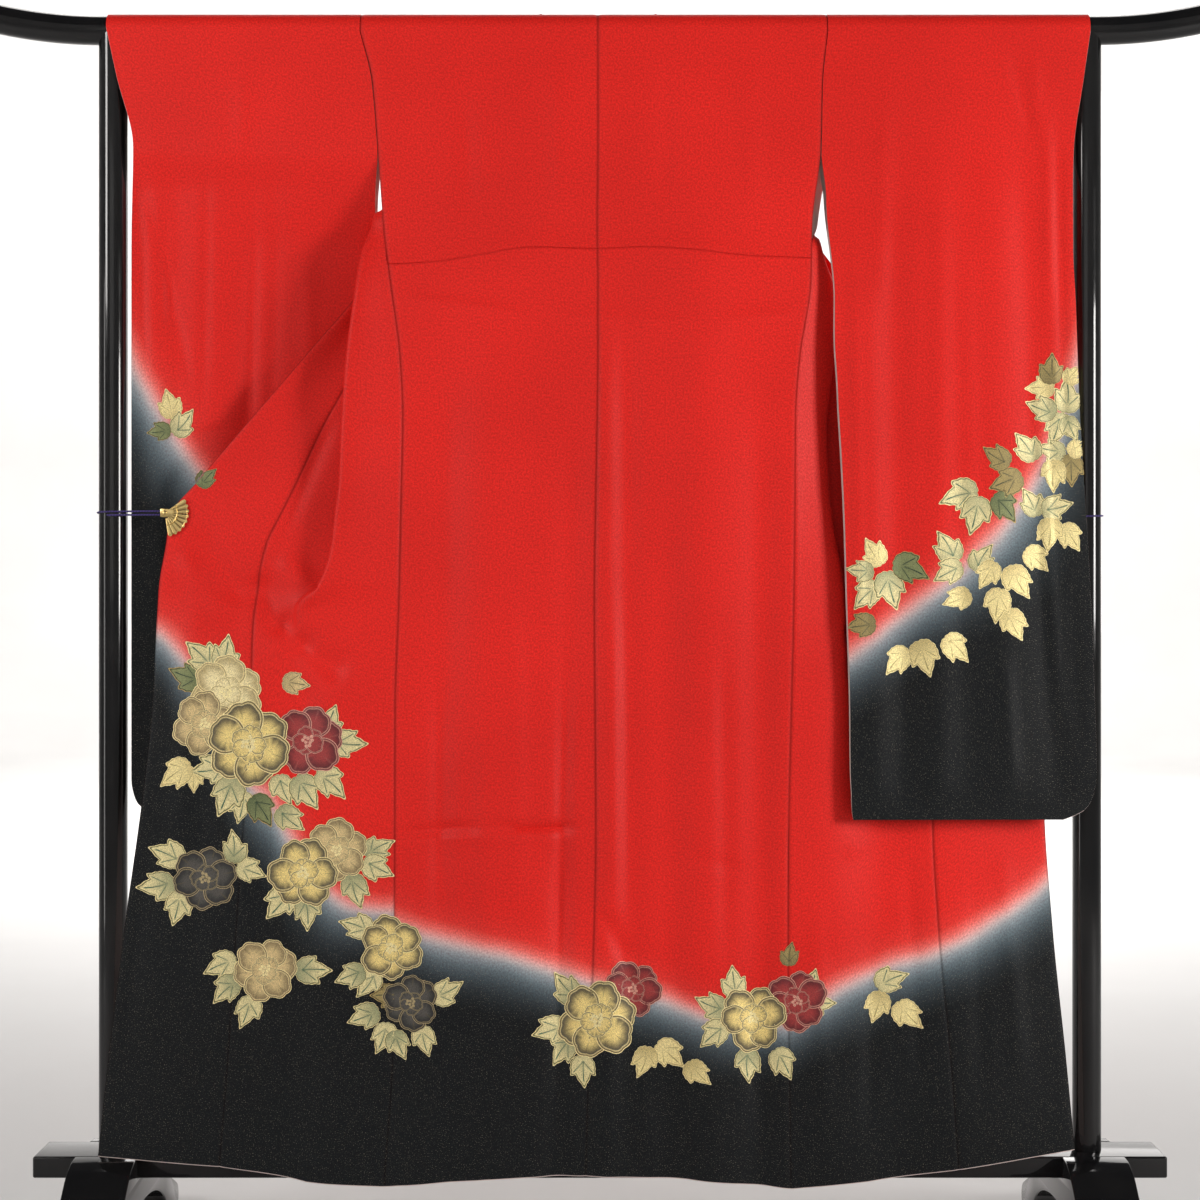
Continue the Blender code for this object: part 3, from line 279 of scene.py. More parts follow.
RIGHT_SLEEVE_FOLDS = (
    (0.590, 1.60, 0.640, 0.66, 0.022, -0.0035),
    (0.545, 1.62, 0.560, 0.66, 0.034, 0.004),
    (0.470, 1.60, 0.470, 0.66, 0.028, 0.005),
    (0.410, 1.55, 0.420, 0.66, 0.020, -0.0035),
    (0.368, 1.45, 0.372, 0.66, 0.020, 0.003),
)

# Hem heights at shares of the width: the back from left side to right, a front from side to edge.
BACK_HEM = ((-1.0, 0.106), (-0.5, 0.117), (0.0, 0.121), (0.5, 0.117), (1.0, 0.103))
LEFT_HEM = ((0.0, 0.106), (0.3, 0.113), (0.6, 0.135), (1.0, 0.148))
RIGHT_HEM = ((0.0, 0.103), (0.3, 0.113), (0.6, 0.130), (1.0, 0.156))
HEMS = {"left": LEFT_HEM, "right": RIGHT_HEM}
SLEEVE_FEET = {"left": 0.604, "right": 0.613}
SLEEVE_FOLDS = {"left": LEFT_SLEEVE_FOLDS, "right": RIGHT_SLEEVE_FOLDS}

# Away from the centre seam along X, on either side.
OUTWARD = {"left": -1, "right": 1}

# The row a gusset starts at: 0 to 1 turns over the rail, and 1 to 2 hangs from it to the hem.
GUSSET_FIRST_ROW = 1.17

# Heights along a front's edge at which the collar is laid.
COLLAR_STATIONS = (
    1.033, 1.075, 1.12, 1.17, 1.22, 1.26, 1.30, 1.33, 1.36, 1.39, 1.42, 1.45, 1.48, 1.52, 1.57, 1.62, 1.66,
    1.69,
)

# The collar behind the rail: it lies beside the fronts at the neck and passes behind them at each end.
# Each row is a place along X, the radius about the rail and how far round from the crest it starts.
NECK_ROWS = (
    (-0.108, 0.0275, 0.70),
    (-0.096, 0.0260, 0.35),
    (-0.0835, 0.0248, 0.02),
    (-0.078, 0.0216, 0.01),
    (-0.040, 0.0216, 0.01),
    (-0.003, 0.0216, 0.01),
    (0.035, 0.0216, 0.01),
    (0.073, 0.0216, 0.01),
    (0.0785, 0.0248, 0.02),
    (0.091, 0.0260, 0.35),
    (0.103, 0.0275, 0.70),
)

# Fine creases: soft ridges (positive) and troughs (negative), each from one place on the cloth to another.
# Columns: x and height where it starts, x and height where it ends, half width and rise.
BACK_CREASES = (
    (-0.290, 0.592, -0.150, 0.603, 0.004, -0.0036),
    (-0.190, 0.602, -0.004, 0.600, 0.004, -0.0034),
    (-0.049, 0.860, -0.060, 0.150, 0.007, -0.0044),
    (-0.030, 0.900, -0.036, 0.250, 0.010, 0.0029),
    (-0.222, 0.840, -0.224, 0.440, 0.010, -0.0034),
    (0.018, 0.960, 0.022, 0.400, 0.010, 0.0034),
    (0.270, 0.620, 0.276, 0.400, 0.008, -0.0034),
    (-0.296, 1.340, -0.080, 1.313, 0.010, 0.0025),
    (-0.080, 1.313, 0.150, 1.306, 0.009, 0.0018),
    (0.150, 1.306, 0.290, 1.318, 0.011, 0.0025),
    (-0.274, 1.175, -0.235, 1.166, 0.004, -0.0025),
    (-0.078, 1.180, -0.046, 1.184, 0.004, -0.0023),
    (-0.282, 0.594, -0.167, 0.603, 0.007, -0.0034),
    (-0.167, 0.603, -0.009, 0.599, 0.009, -0.0025),
    (-0.270, 0.586, -0.020, 0.589, 0.009, 0.0023),
    (0.000, 0.492, 0.043, 0.408, 0.013, -0.0055),
    (0.043, 0.408, 0.052, 0.330, 0.014, -0.0038),
    (0.120, 0.560, 0.205, 0.545, 0.010, -0.0021),
    (-0.190, 1.640, -0.182, 1.440, 0.012, -0.0025),
    (-0.060, 1.680, -0.055, 1.430, 0.014, 0.0025),
    (0.095, 1.690, 0.088, 1.440, 0.012, -0.0025),
    (0.205, 1.690, 0.215, 1.430, 0.014, 0.0021),
    (0.170, 0.900, 0.176, 0.360, 0.012, -0.0029),
    (-0.120, 1.000, -0.112, 0.420, 0.014, 0.0027),
    (-0.178, 0.820, -0.182, 0.200, 0.011, -0.0023),
    (0.052, 0.300, 0.064, 0.130, 0.015, 0.0029),
    (0.205, 0.420, 0.232, 0.140, 0.014, -0.0029),
)
LEFT_SLEEVE_CREASES = (
    (-0.619, 1.500, -0.604, 1.250, 0.0035, -0.0026),
    (-0.655, 1.560, -0.640, 1.180, 0.0086, -0.0030),
    (-0.580, 1.155, -0.500, 1.157, 0.0035, -0.0032),
    (-0.552, 1.560, -0.562, 1.160, 0.0062, -0.0028),
    (-0.490, 1.500, -0.500, 1.110, 0.0078, -0.0026),
    (-0.655, 1.560, -0.566, 1.166, 0.0047, -0.0022),
    (-0.600, 1.150, -0.520, 1.158, 0.0039, -0.0022),
    (-0.640, 1.420, -0.618, 0.980, 0.0070, 0.0022),
    (-0.500, 1.690, -0.505, 1.300, 0.0120, 0.0019),
    (-0.455, 1.600, -0.470, 1.020, 0.0100, -0.0019),
    (-0.420, 1.480, -0.405, 0.900, 0.0120, 0.0016),
    (-0.590, 0.980, -0.604, 0.660, 0.0100, 0.0018),
    (-0.480, 0.880, -0.490, 0.640, 0.0120, -0.0019),
)
RIGHT_SLEEVE_CREASES = (
    (0.639, 1.600, 0.648, 1.100, 0.0062, -0.0032),
    (0.352, 1.480, 0.362, 0.720, 0.0078, 0.0030),
    (0.625, 1.640, 0.628, 1.300, 0.0070, 0.0026),
    (0.575, 1.690, 0.606, 1.560, 0.0055, -0.0029),
    (0.606, 1.690, 0.618, 1.540, 0.0047, 0.0022),
    (0.400, 1.660, 0.392, 1.300, 0.0120, 0.0019),
    (0.460, 1.560, 0.452, 0.980, 0.0120, -0.0019),
    (0.510, 1.500, 0.520, 0.760, 0.0120, 0.0019),
    (0.606, 1.300, 0.640, 0.700, 0.0078, 0.0030),
    (0.655, 0.980, 0.664, 0.690, 0.0080, -0.0010),
    (0.425, 0.900, 0.432, 0.650, 0.0110, -0.0016),
    (0.560, 0.860, 0.572, 0.640, 0.0100, 0.0019),
)
LEFT_FRONT_CREASES = (
    (-0.482, 0.958, -0.440, 0.868, 0.020, -0.0108),
    (-0.454, 0.898, -0.405, 0.838, 0.021, -0.0114),
    (-0.430, 0.862, -0.345, 0.806, 0.020, -0.0094),
    (-0.450, 0.985, -0.392, 0.905, 0.018, 0.0068),
    (-0.575, 1.022, -0.484, 0.900, 0.017, -0.0080),
    (-0.592, 0.992, -0.512, 0.872, 0.018, 0.0058),
    (-0.345, 1.177, -0.288, 1.172, 0.004, -0.0028),
    (-0.560, 1.000, -0.590, 0.500, 0.012, 0.0022),
    (-0.540, 0.900, -0.570, 0.300, 0.014, -0.0022),
    (-0.400, 0.780, -0.395, 0.260, 0.016, 0.0025),
    (-0.460, 0.800, -0.480, 0.200, 0.013, -0.0018),
    (-0.620, 0.640, -0.664, 0.240, 0.012, -0.0022),
    (-0.366, 1.195, -0.452, 0.985, 0.012, -0.0050),
)
RIGHT_FRONT_CREASES = (
    (0.330, 0.560, 0.420, 0.600, 0.012, 0.0023),
    (0.430, 0.590, 0.445, 0.200, 0.012, -0.0026),
    (0.560, 0.600, 0.585, 0.200, 0.014, 0.0026),
    (0.300, 0.520, 0.312, 0.150, 0.013, 0.0023),
    (0.380, 0.470, 0.372, 0.160, 0.012, -0.0023),
    (0.520, 0.560, 0.530, 0.180, 0.011, -0.0019),
)

# Waist tuck across the back: it overhangs a fine line of painted shade and sinks back below it.
# Columns: x and height.
TUCK_LINE = (
    (-0.296, 1.387), (-0.231, 1.391), (-0.167, 1.401), (-0.123, 1.409), (-0.002, 1.409), (0.072, 1.4116),
    (0.137, 1.407), (0.201, 1.400), (0.297, 1.396),
)
TUCK_RISE = 0.0016
TUCK_HALF_BAND = 0.028
TUCK_SINK = 0.0006
TUCK_SINK_REACH = 0.004
# The painted shade under the tuck: how far below its line it lies, how wide and how dark it is.
TUCK_LINE_BELOW = 0.0010
TUCK_LINE_WIDTH = 0.0014
TUCK_PAINTED_SHADE = 0.55

# The dyed band between red above and black below: places on its middle line as the viewer sees it.
# Columns: x and height.
DYE_LINES = {
    "left_sleeve": (
        (-0.700, 1.320), (-0.659, 1.242), (-0.635, 1.192), (-0.579, 1.108), (-0.470, 0.985), (-0.370, 0.880),
        (-0.300, 0.830),
    ),
    "left_front": (
        (-0.700, 0.800), (-0.624, 0.867), (-0.596, 0.838), (-0.490, 0.647), (-0.465, 0.623), (-0.441, 0.581),
        (-0.380, 0.497), (-0.336, 0.476), (-0.280, 0.470),
    ),
    "back": (
        (-0.345, 0.492), (-0.335, 0.478), (-0.254, 0.438), (-0.172, 0.416), (-0.092, 0.397), (-0.042, 0.383),
        (-0.009, 0.371), (0.088, 0.347), (0.145, 0.323), (0.260, 0.314), (0.300, 0.312),
    ),
    "right_front": (
        (0.230, 0.300), (0.271, 0.320), (0.309, 0.344), (0.386, 0.383), (0.477, 0.416), (0.534, 0.443),
        (0.634, 0.512), (0.700, 0.560),
    ),
    "right_sleeve": (
        (0.300, 0.800), (0.357, 0.836), (0.443, 0.900), (0.515, 0.957), (0.572, 1.013), (0.616, 1.082),
        (0.641, 1.136), (0.673, 1.228), (0.720, 1.380),
    ),
}

# The solids stand this far apart at the side seams, which are closed here.
SIDE_GAP = 0.0012

CAMERA_BACK = 2.8
CAMERA_HEIGHT = 0.917
CAMERA_REACH = 40.0
LENS_MM = 59.5
SENSOR_MM = 36.0


class Sections:
    """A table of sections by height, read between its rows along curves that never overshoot them."""

    def __init__(self, columns, rows):
        data = np.array(rows, float)[::-1]
        self.columns = columns[1:]
        self.heights = data[:, 0]
        self.values = data[:, 1:]
        steps = np.diff(self.heights)[:, None]
        grades = np.diff(self.values, axis=0) / steps
        self.slopes = np.zeros_like(self.values)
        same_way = grades[:-1] * grades[1:] > 0
        joined = np.where(same_way, grades[:-1] + grades[1:], 1.0)
        self.slopes[1:-1] = np.where(same_way, 2 * grades[:-1] * grades[1:] / joined, 0.0)
        self.slopes[0] = grades[0]
        self.slopes[-1] = grades[-1]

    def at(self, height):
        height = np.clip(height, self.heights[0], self.heights[-1])
        row = np.clip(np.searchsorted(self.heights, height, "right") - 1, 0, len(self.heights) - 2)
        step = (self.heights[row + 1] - self.heights[row])[..., None]
        share = (height - self.heights[row])[..., None] / step
        before, after = self.slopes[row] * step, self.slopes[row + 1] * step
        values = hermite(self.values[row], self.values[row + 1], before, after, share)
        return dict(zip(self.columns, np.moveaxis(values, -1, 0)))


def hermite(start, end, start_slope, end_slope, share):
    square = share * share
    cube = square * share
    return (
        (2 * cube - 3 * square + 1) * start
        + (cube - 2 * square + share) * start_slope
        + (3 * square - 2 * cube) * end
        + (cube - square) * end_slope
    )


def ease(value):
    value = np.clip(value, 0.0, 1.0)
    return value * value * (3 - 2 * value)


def along_line(line, x):
    """Height and slope of a smooth line at x, through its listed places."""
    knots = np.array([place[0] for place in line])
    heights = np.array([place[1] for place in line])
    slopes = np.gradient(heights, knots)
    x = np.clip(x, knots[0], knots[-1])
    span = np.clip(np.searchsorted(knots, x, "right") - 1, 0, len(knots) - 2)
    step = knots[span + 1] - knots[span]
    share = (x - knots[span]) / step
    height = hermite(heights[span], heights[span + 1], slopes[span] * step, slopes[span + 1] * step, share)
    return height, slopes[span] * (1 - share) + slopes[span + 1] * share


def curve_through(places, knots, share):
    """Points at these shares of smooth curves through the places, one curve for each share."""
    knots = np.array(knots)
    slopes = np.gradient(places, knots, axis=0)
    grades = np.diff(places, axis=0) / np.diff(knots)[:, None, None]
    most = 3 * np.minimum(abs(grades[:-1]), abs(grades[1:]))
    onward = grades[:-1] * grades[1:] > 0
    slopes[1:-1] = np.where(onward, np.clip(slopes[1:-1], -most, most), slopes[1:-1])
    for knot in range(1, len(knots) - 1):
        before, after = grades[knot - 1], grades[knot]
        lengths = np.stack([np.linalg.norm(before, axis=-1), np.linalg.norm(after, axis=-1)])
        doubling = ease(-(before * after).sum(-1) / np.maximum(lengths[0] * lengths[1], STILL))
        step = min(knots[knot] - knots[knot - 1], knots[knot + 1] - knots[knot])
        turn = np.minimum(np.sqrt(6 * TURN_RADIUS * lengths.max(0) / step), lengths.min(0))
        through = np.stack([np.zeros_like(turn), turn], axis=-1)
        slopes[knot] += (through - slopes[knot]) * doubling[:, None]
    span = np.clip(np.searchsorted(knots, share, "right") - 1, 0, len(knots) - 2)
    step = (knots[span + 1] - knots[span])[:, None]
    part = (share - knots[span])[:, None] / step
    each = np.arange(len(share))
    before, after = slopes[span, each] * step, slopes[span + 1, each] * step
    return hermite(places[span, each], places[span + 1, each], before, after, part)


def fold_rise(folds, x, height):
    """How far the listed ridges and troughs lift a layer at these places."""
    total = np.zeros_like(x)
    for top_x, top_height, foot_x, foot_height, half_width, rise in folds:
        down = (top_height - height) / (top_height - foot_height)
        centre = top_x + (foot_x - top_x) * down
        spread = (x - centre) / half_width
        start = ease(down / FOLD_FADE_IN)
        end = ease((1 + FOLD_FADE_OUT - down) / FOLD_FADE_OUT)
        total += rise * np.exp(-spread * spread) * start * end
    return total


def crease_rise(creases, x, height):
    """How far the fine creases lift the cloth: each fades out beside its line and towards both ends."""
    total = np.zeros_like(x)
    for x_from, height_from, x_to, height_to, half_width, rise in creases:
        run = np.array((x_to - x_from, height_to - height_from))
        length = math.hypot(*run)
        run /= length
        along = (x - x_from) * run[0] + (height - height_from) * run[1]
        beside = (x - x_from) * run[1] - (height - height_from) * run[0]
        fade = CREASE_END_SHARE * length
        ends = ease(along / fade) * ease((length - along) / fade)
        total += rise * np.exp(-((beside / half_width) ** 2)) * ends
    return total


def hang(side, down, foot):
    """Depth and height where a layer turns over the rail and drops to its foot; side is -1 near, 1 far."""
    angle = np.pi / 2 * (1 - np.minimum(down, 1.0))
    drop = np.maximum(down - 1, 0.0)
    return (
        side * OVER_RAIL * np.cos(angle),
        RAIL_HEIGHT + OVER_RAIL * np.sin(angle) - drop * (RAIL_HEIGHT - foot),
    )


def settled(over_depth, depth, height):
    """A layer's depth, which leaves the rail's curve gradually."""
    return over_depth + (depth - over_depth) * ease((RAIL_HEIGHT - height) / RAIL_EASE)


def hem_at(hem, share):
    return np.interp(share, [place[0] for place in hem], [place[1] for place in hem])


BACK = Sections(BACK_COLUMNS, BACK_ROWS)
FRONTS = {
    "left": Sections(FRONT_COLUMNS, LEFT_FRONT_ROWS),
    "right": Sections(FRONT_COLUMNS, RIGHT_FRONT_ROWS),
}
SLEEVES = {
    "left": Sections(SLEEVE_COLUMNS, LEFT_SLEEVE_ROWS),
    "right": Sections(SLEEVE_COLUMNS, RIGHT_SLEEVE_ROWS),
}


def back_points(across, down):
    """The back from the left side (-1) over the centre seam (0) to the right side (1)."""
    over_depth, height = hang(-1, down, hem_at(BACK_HEM, across))
    row = BACK.at(height)
    side = np.where(across > 0, row["right"], row["left"])
    x = row["seam"] + (side - row["seam"]) * abs(across)
    edge_fade = ease((1 - abs(across)) / BACK_SIDE_FADE)
    depth = row["depth"] - fold_rise(BACK_FOLDS, x, height) * edge_fade
    return np.stack((x, settled(over_depth, depth, height), height), axis=-1)


def front_points(side, across, down):
    """A front and its gusset from the side seam (0) to the front edge (1)."""
    over_depth, height = hang(1, down, hem_at(HEMS[side], across))
    row = FRONTS[side].at(height)
    back = BACK.at(height)
    side_edge = (
        back[side] + OUTWARD[side] * (row["side_out"] - SIDE_GAP),
        back["depth"] + row["side_behind"],
    )
    others = [(row[key + "_x"], row[key + "_y"]) for key in ("ridge", "valley", "seam", "edge")]
    places = np.moveaxis(np.array([side_edge] + others), 1, -1)
    x, depth = curve_through(places, FRONT_KNOTS, across).T
    return np.stack((x, settled(over_depth, depth, height), height), axis=-1)


def sleeve_points(side, layer, across, down):
    """One layer of a sleeve from the cuff edge (0) to the inner edge beside the body (1)."""
    foot = SLEEVE_FEET[side]
    over_depth, height = hang(-1 if layer == "near" else 1, down, foot)
    row = SLEEVES[side].at(height)
    cuff_x = row["cuff_x"] if layer == "near" else row["far_cuff_x"]
    inner_x = BACK.at(height)[side] + OUTWARD[side] * row["inner_out"]
    x = cuff_x + (inner_x - cuff_x) * across
    depth = row[layer + "_cuff_y"] + (row[layer + "_inner_y"] - row[layer + "_cuff_y"]) * across
    edge_fade = ease(across / CUFF_FADE) * ease((1 - across) / SLEEVE_INNER_FADE)
    foot_fade = ease((height - foot) / SLEEVE_FOOT_FADE)
    depth = depth - fold_rise(SLEEVE_FOLDS[side], x, height) * edge_fade * foot_fade
    return np.stack((x, settled(over_depth, depth, height), height), axis=-1)


def grid_places(points, across, down):
    """Places and outward normals of a layer over its shares across and down."""
    wide, tall = np.meshgrid(across, down)
    flat_wide, flat_tall = wide.ravel(), tall.ravel()

    def read(shift_wide, shift_tall):
        a = np.clip(flat_wide + shift_wide, across[0], across[-1])
        d = np.clip(flat_tall + shift_tall, down[0], down[-1])
        return points(a, d).reshape(len(down), len(across), 3)

    along = read(SHARE_STEP, 0) - read(-SHARE_STEP, 0)
    drop = read(0, SHARE_STEP) - read(0, -SHARE_STEP)
    normals = np.cross(along, drop)
    normals /= np.linalg.norm(normals, axis=-1, keepdims=True)
    return read(0, 0), normals


# Colours, in linear light
RED = (0.63, 0.013, 0.0090)
BLACK = (0.0036, 0.0044, 0.0056)
LINING_COLOUR = (0.78, 0.62, 0.58)
GOLD = (0.78, 0.60, 0.27)
CORD_PURPLE = (0.040, 0.012, 0.20)

# The dyed band from red to black: places on it, in metres below its middle, and their colours.
DYE_STOPS = (
    (-0.032, RED), (-0.018, (0.74, 0.095, 0.080)), (-0.009, (0.72, 0.26, 0.245)),
    (-0.001, (0.52, 0.37, 0.375)), (0.007, (0.24, 0.25, 0.28)), (0.020, (0.092, 0.108, 0.128)),
    (0.036, (0.036, 0.043, 0.052)), (0.054, (0.0125, 0.0150, 0.0180)), (0.074, BLACK),
)
DYE_REACH = 0.08

# Grains to a metre, and how the cord's strands lean: radians to a metre round it and along it.
CREPE_GRAIN = 400.0
LINING_GRAIN = 800.0
PAINTING_GRAIN = 850.0
METAL_GRAIN = 1400.0
CORD_LEAN_ROUND = 780.0
CORD_LEAN_ALONG = 1500.0


class Nodes:
    """Short calls for building one node tree."""

    def __init__(self, tree):
        self.tree = tree

    def add(self, kind, **settings):
        node = self.tree.nodes.new(kind)
        for name, value in settings.items():
            setattr(node, name, value)
        return node

    def join(self, source, target):
        self.tree.links.new(source, target)

    def noise(self, vector, scale, detail=2.0, roughness=0.5):
        node = self.add("ShaderNodeTexNoise")
        node.inputs["Scale"].default_value = scale
        node.inputs["Detail"].default_value = detail
        node.inputs["Roughness"].default_value = roughness
        self.join(vector, node.inputs["Vector"])
        return node.outputs["Fac"]

    def maths(self, operation, first, second=None, third=None):
        node = self.add("ShaderNodeMath", operation=operation)
        for socket, value in zip(node.inputs, (first, second, third)):
            if value is None:
                continue
            if isinstance(value, (int, float)):
                socket.default_value = value
            else:
                self.join(value, socket)
        return node.outputs[0]

    def spread(self, value, low, high, to_low=0.0, to_high=1.0):
        node = self.add("ShaderNodeMapRange")
        for name, number in (("From Min", low), ("From Max", high), ("To Min", to_low), ("To Max", to_high)):
            node.inputs[name].default_value = number
        self.join(value, node.inputs["Value"])
        return node.outputs["Result"]

    def mix(self, share, first, second, blend="MIX"):
        node = self.add("ShaderNodeMix", data_type="RGBA", blend_type=blend)
        sockets = [s for s in node.inputs if s.enabled]
        for socket, value in zip(sockets, (share, first, second)):
            if isinstance(value, (int, float)):
                socket.default_value = value
            elif isinstance(value, tuple):
                socket.default_value = (*value, 1.0)[:4]
            else:
                self.join(value, socket)
        return next(s for s in node.outputs if s.enabled)

    def ramp(self, value, stops, smooth="LINEAR"):
        node = self.add("ShaderNodeValToRGB")
        ramp = node.color_ramp
        ramp.interpolation = smooth
        while len(ramp.elements) < len(stops):
            ramp.elements.new(0.5)
        for element, (place, colour) in zip(ramp.elements, stops):
            element.position = place
            element.color = (*colour, 1.0)
        self.join(value, node.inputs["Fac"])
        return node.outputs["Color"]

    def attribute(self, name, output="Fac"):
        return self.add("ShaderNodeAttribute", attribute_name=name).outputs[output]

    def cloth_map(self):
        return self.add("ShaderNodeUVMap", uv_map="cloth").outputs[0]

    def placed(self):
        return self.add("ShaderNodeTexCoord").outputs["Object"]

    def scaled(self, vector, factor):
        node = self.add("ShaderNodeVectorMath", operation="SCALE")
        self.join(vector, node.inputs[0])
        self.join(factor, node.inputs["Scale"])
        return node.outputs[0]

    def weighed(self, first, first_weight, second, second_weight):
        """Two values added up, each by its own weight."""
        weighed_first = self.maths("MULTIPLY", first, first_weight)
        return self.maths("ADD", weighed_first, self.maths("MULTIPLY", second, second_weight))

    def bump(self, height, strength, distance, under=None):
        node = self.add("ShaderNodeBump")
        node.inputs["Strength"].default_value = strength
        node.inputs["Distance"].default_value = distance
        self.join(height, node.inputs["Height"])
        if under is not None:
            self.join(under, node.inputs["Normal"])
        return node.outputs["Normal"]


def new_group(name, inputs, outputs):
    tree = bpy.data.node_groups.new(name, "ShaderNodeTree")
    for label, kind in inputs:
        tree.interface.new_socket(name=label, in_out="INPUT", socket_type=kind)
    for label, kind in outputs:
        tree.interface.new_socket(name=label, in_out="OUTPUT", socket_type=kind)
    nodes = Nodes(tree)
    return tree, nodes, nodes.add("NodeGroupInput").outputs, nodes.add("NodeGroupOutput").inputs


def crepe_group():
    """Crepe weave: fine pebbled grains, their height, and sparse bright flecks."""
    inputs = (("Vector", "NodeSocketVector"), ("Grain", "NodeSocketFloat"))
    outputs = (("Mottle", "NodeSocketFloat"), ("Height", "NodeSocketFloat"), ("Flecks", "NodeSocketFloat"))
    tree, nodes, given, made = new_group("crepe weave", inputs, outputs)
    stretch = nodes.add("ShaderNodeVectorMath", operation="MULTIPLY")
    stretch.inputs[1].default_value = (1.0, 0.86, 1.0)
    nodes.join(given["Vector"], stretch.inputs[0])
    scaled = nodes.scaled(stretch.outputs[0], given["Grain"])
    grains = nodes.noise(scaled, 1.0, 2.0, 0.62)
    fine = nodes.noise(scaled, 3.4, 1.0, 0.5)
    mottle = nodes.weighed(grains, 0.68, fine, 0.32)
    nodes.join(nodes.spread(mottle, 0.36, 0.64), made["Mottle"])
    nodes.join(mottle, made["Height"])
    dots = nodes.noise(scaled, 2.1, 0.0, 0.5)
    nodes.join(nodes.spread(dots, 0.70, 0.80), made["Flecks"])
    return tree


def gilt_group():
    """Gilding: uneven metal grains with small dull gaps."""
    inputs = (("Vector", "NodeSocketVector"), ("Grain", "NodeSocketFloat"))
    outputs = (("Shine", "NodeSocketFloat"), ("Height", "NodeSocketFloat"))
    tree, nodes, given, made = new_group("gilding", inputs, outputs)
    scaled = nodes.scaled(given["Vector"], given["Grain"])
    coarse = nodes.noise(scaled, 1.0, 3.0, 0.6)
    fine = nodes.noise(scaled, 4.0, 1.0, 0.5)
    both = nodes.weighed(coarse, 0.6, fine, 0.4)
    nodes.join(nodes.spread(both, 0.34, 0.62), made["Shine"])
    nodes.join(both, made["Height"])
    return tree


def wear_group():
    """Faint handling marks on lacquer and metal: a cloudy change of gloss and fine dust specks."""
    inputs = (("Vector", "NodeSocketVector"), ("Low", "NodeSocketFloat"), ("High", "NodeSocketFloat"))
    outputs = (("Roughness", "NodeSocketFloat"), ("Dust", "NodeSocketFloat"))
    tree, nodes, given, made = new_group("handled gloss", inputs, outputs)
    cloud = nodes.noise(given["Vector"], 9.0, 4.0, 0.6)
    share = nodes.spread(cloud, 0.35, 0.7)
    reach = nodes.maths("SUBTRACT", given["High"], given["Low"])
    nodes.join(nodes.maths("MULTIPLY_ADD", share, reach, given["Low"]), made["Roughness"])
    specks = nodes.noise(given["Vector"], 700.0, 1.0, 0.5)
    nodes.join(nodes.spread(specks, 0.70, 0.82), made["Dust"])
    return tree


def new_material(name):
    material = bpy.data.materials.new(name)
    material.use_nodes = True
    nodes = Nodes(material.node_tree)
    return material, nodes, material.node_tree.nodes["Principled BSDF"].inputs


def set_sockets(shader, values):
    for name, value in values.items():
        shader[name].default_value = value


def place_group(nodes, tree, vector, **values):
    group = nodes.add("ShaderNodeGroup", node_tree=tree)
    nodes.join(vector, group.inputs["Vector"])
    for name, value in values.items():
        group.inputs[name].default_value = value
    return group.outputs


def crepe_material(groups):
    """Dyed silk crepe: red above, black below, with the soft band between them, and painted shade along the
    seams and under the waist tuck.
    """
    material, nodes, shader = new_material("dyed crepe")
    placed = nodes.placed()
    weave = place_group(nodes, groups["crepe"], nodes.cloth_map(), Grain=CREPE_GRAIN)
    drift = nodes.maths("MULTIPLY", nodes.maths("SUBTRACT", nodes.noise(placed, 7.0, 3.0), 0.5), 0.022)
    distance = nodes.maths("ADD", nodes.attribute("dye"), drift)
    share = nodes.spread(distance, -DYE_REACH, DYE_REACH)
    stops = [((place + DYE_REACH) / (2 * DYE_REACH), colour) for place, colour in DYE_STOPS]
    dyed = nodes.ramp(share, stops, "B_SPLINE")
    cloudy = nodes.spread(nodes.noise(placed, 3.2, 2.0), 0.3, 0.7, 0.0, 0.42)
    deep = nodes.mix(cloudy, dyed, nodes.mix(1.0, dyed, (0.62, 0.50, 0.50), "MULTIPLY"))
    bright = nodes.mix(1.0, deep, (1.62, 2.0, 1.9), "MULTIPLY")
    grained = nodes.mix(nodes.maths("MULTIPLY", weave["Mottle"], 0.95), deep, bright)
    # Painted shade: the seam attribute darkens the colour along seams and under the waist tuck.
    seam = nodes.attribute("seam")
    sewn = nodes.mix(nodes.maths("MULTIPLY", seam, 0.52), grained, (0.006, 0.002, 0.002))
    on_black = nodes.spread(distance, -0.002, 0.030, 0.03, 0.45)
    flecks = nodes.maths("MULTIPLY", weave["Flecks"], on_black)
    nodes.join(nodes.mix(flecks, sewn, (0.42, 0.38, 0.28)), shader["Base Color"])
    rough = nodes.spread(weave["Mottle"], 0.0, 1.0, 0.60, 0.46)
    nodes.join(nodes.maths("MAXIMUM", rough, seam), shader["Roughness"])
    set_sockets(shader, {
        "Specular IOR Level": 0.20, "Sheen Weight": 0.04, "Sheen Roughness": 0.45,
        "Sheen Tint": (1.0, 0.72, 0.68, 1.0),
    })
    slack = nodes.noise(placed, 34.0, 3.0, 0.55)
    soft = nodes.bump(slack, 0.30, 0.0016)
    nodes.join(nodes.bump(weave["Height"], 0.42, 0.0005, soft), shader["Normal"])
    return material


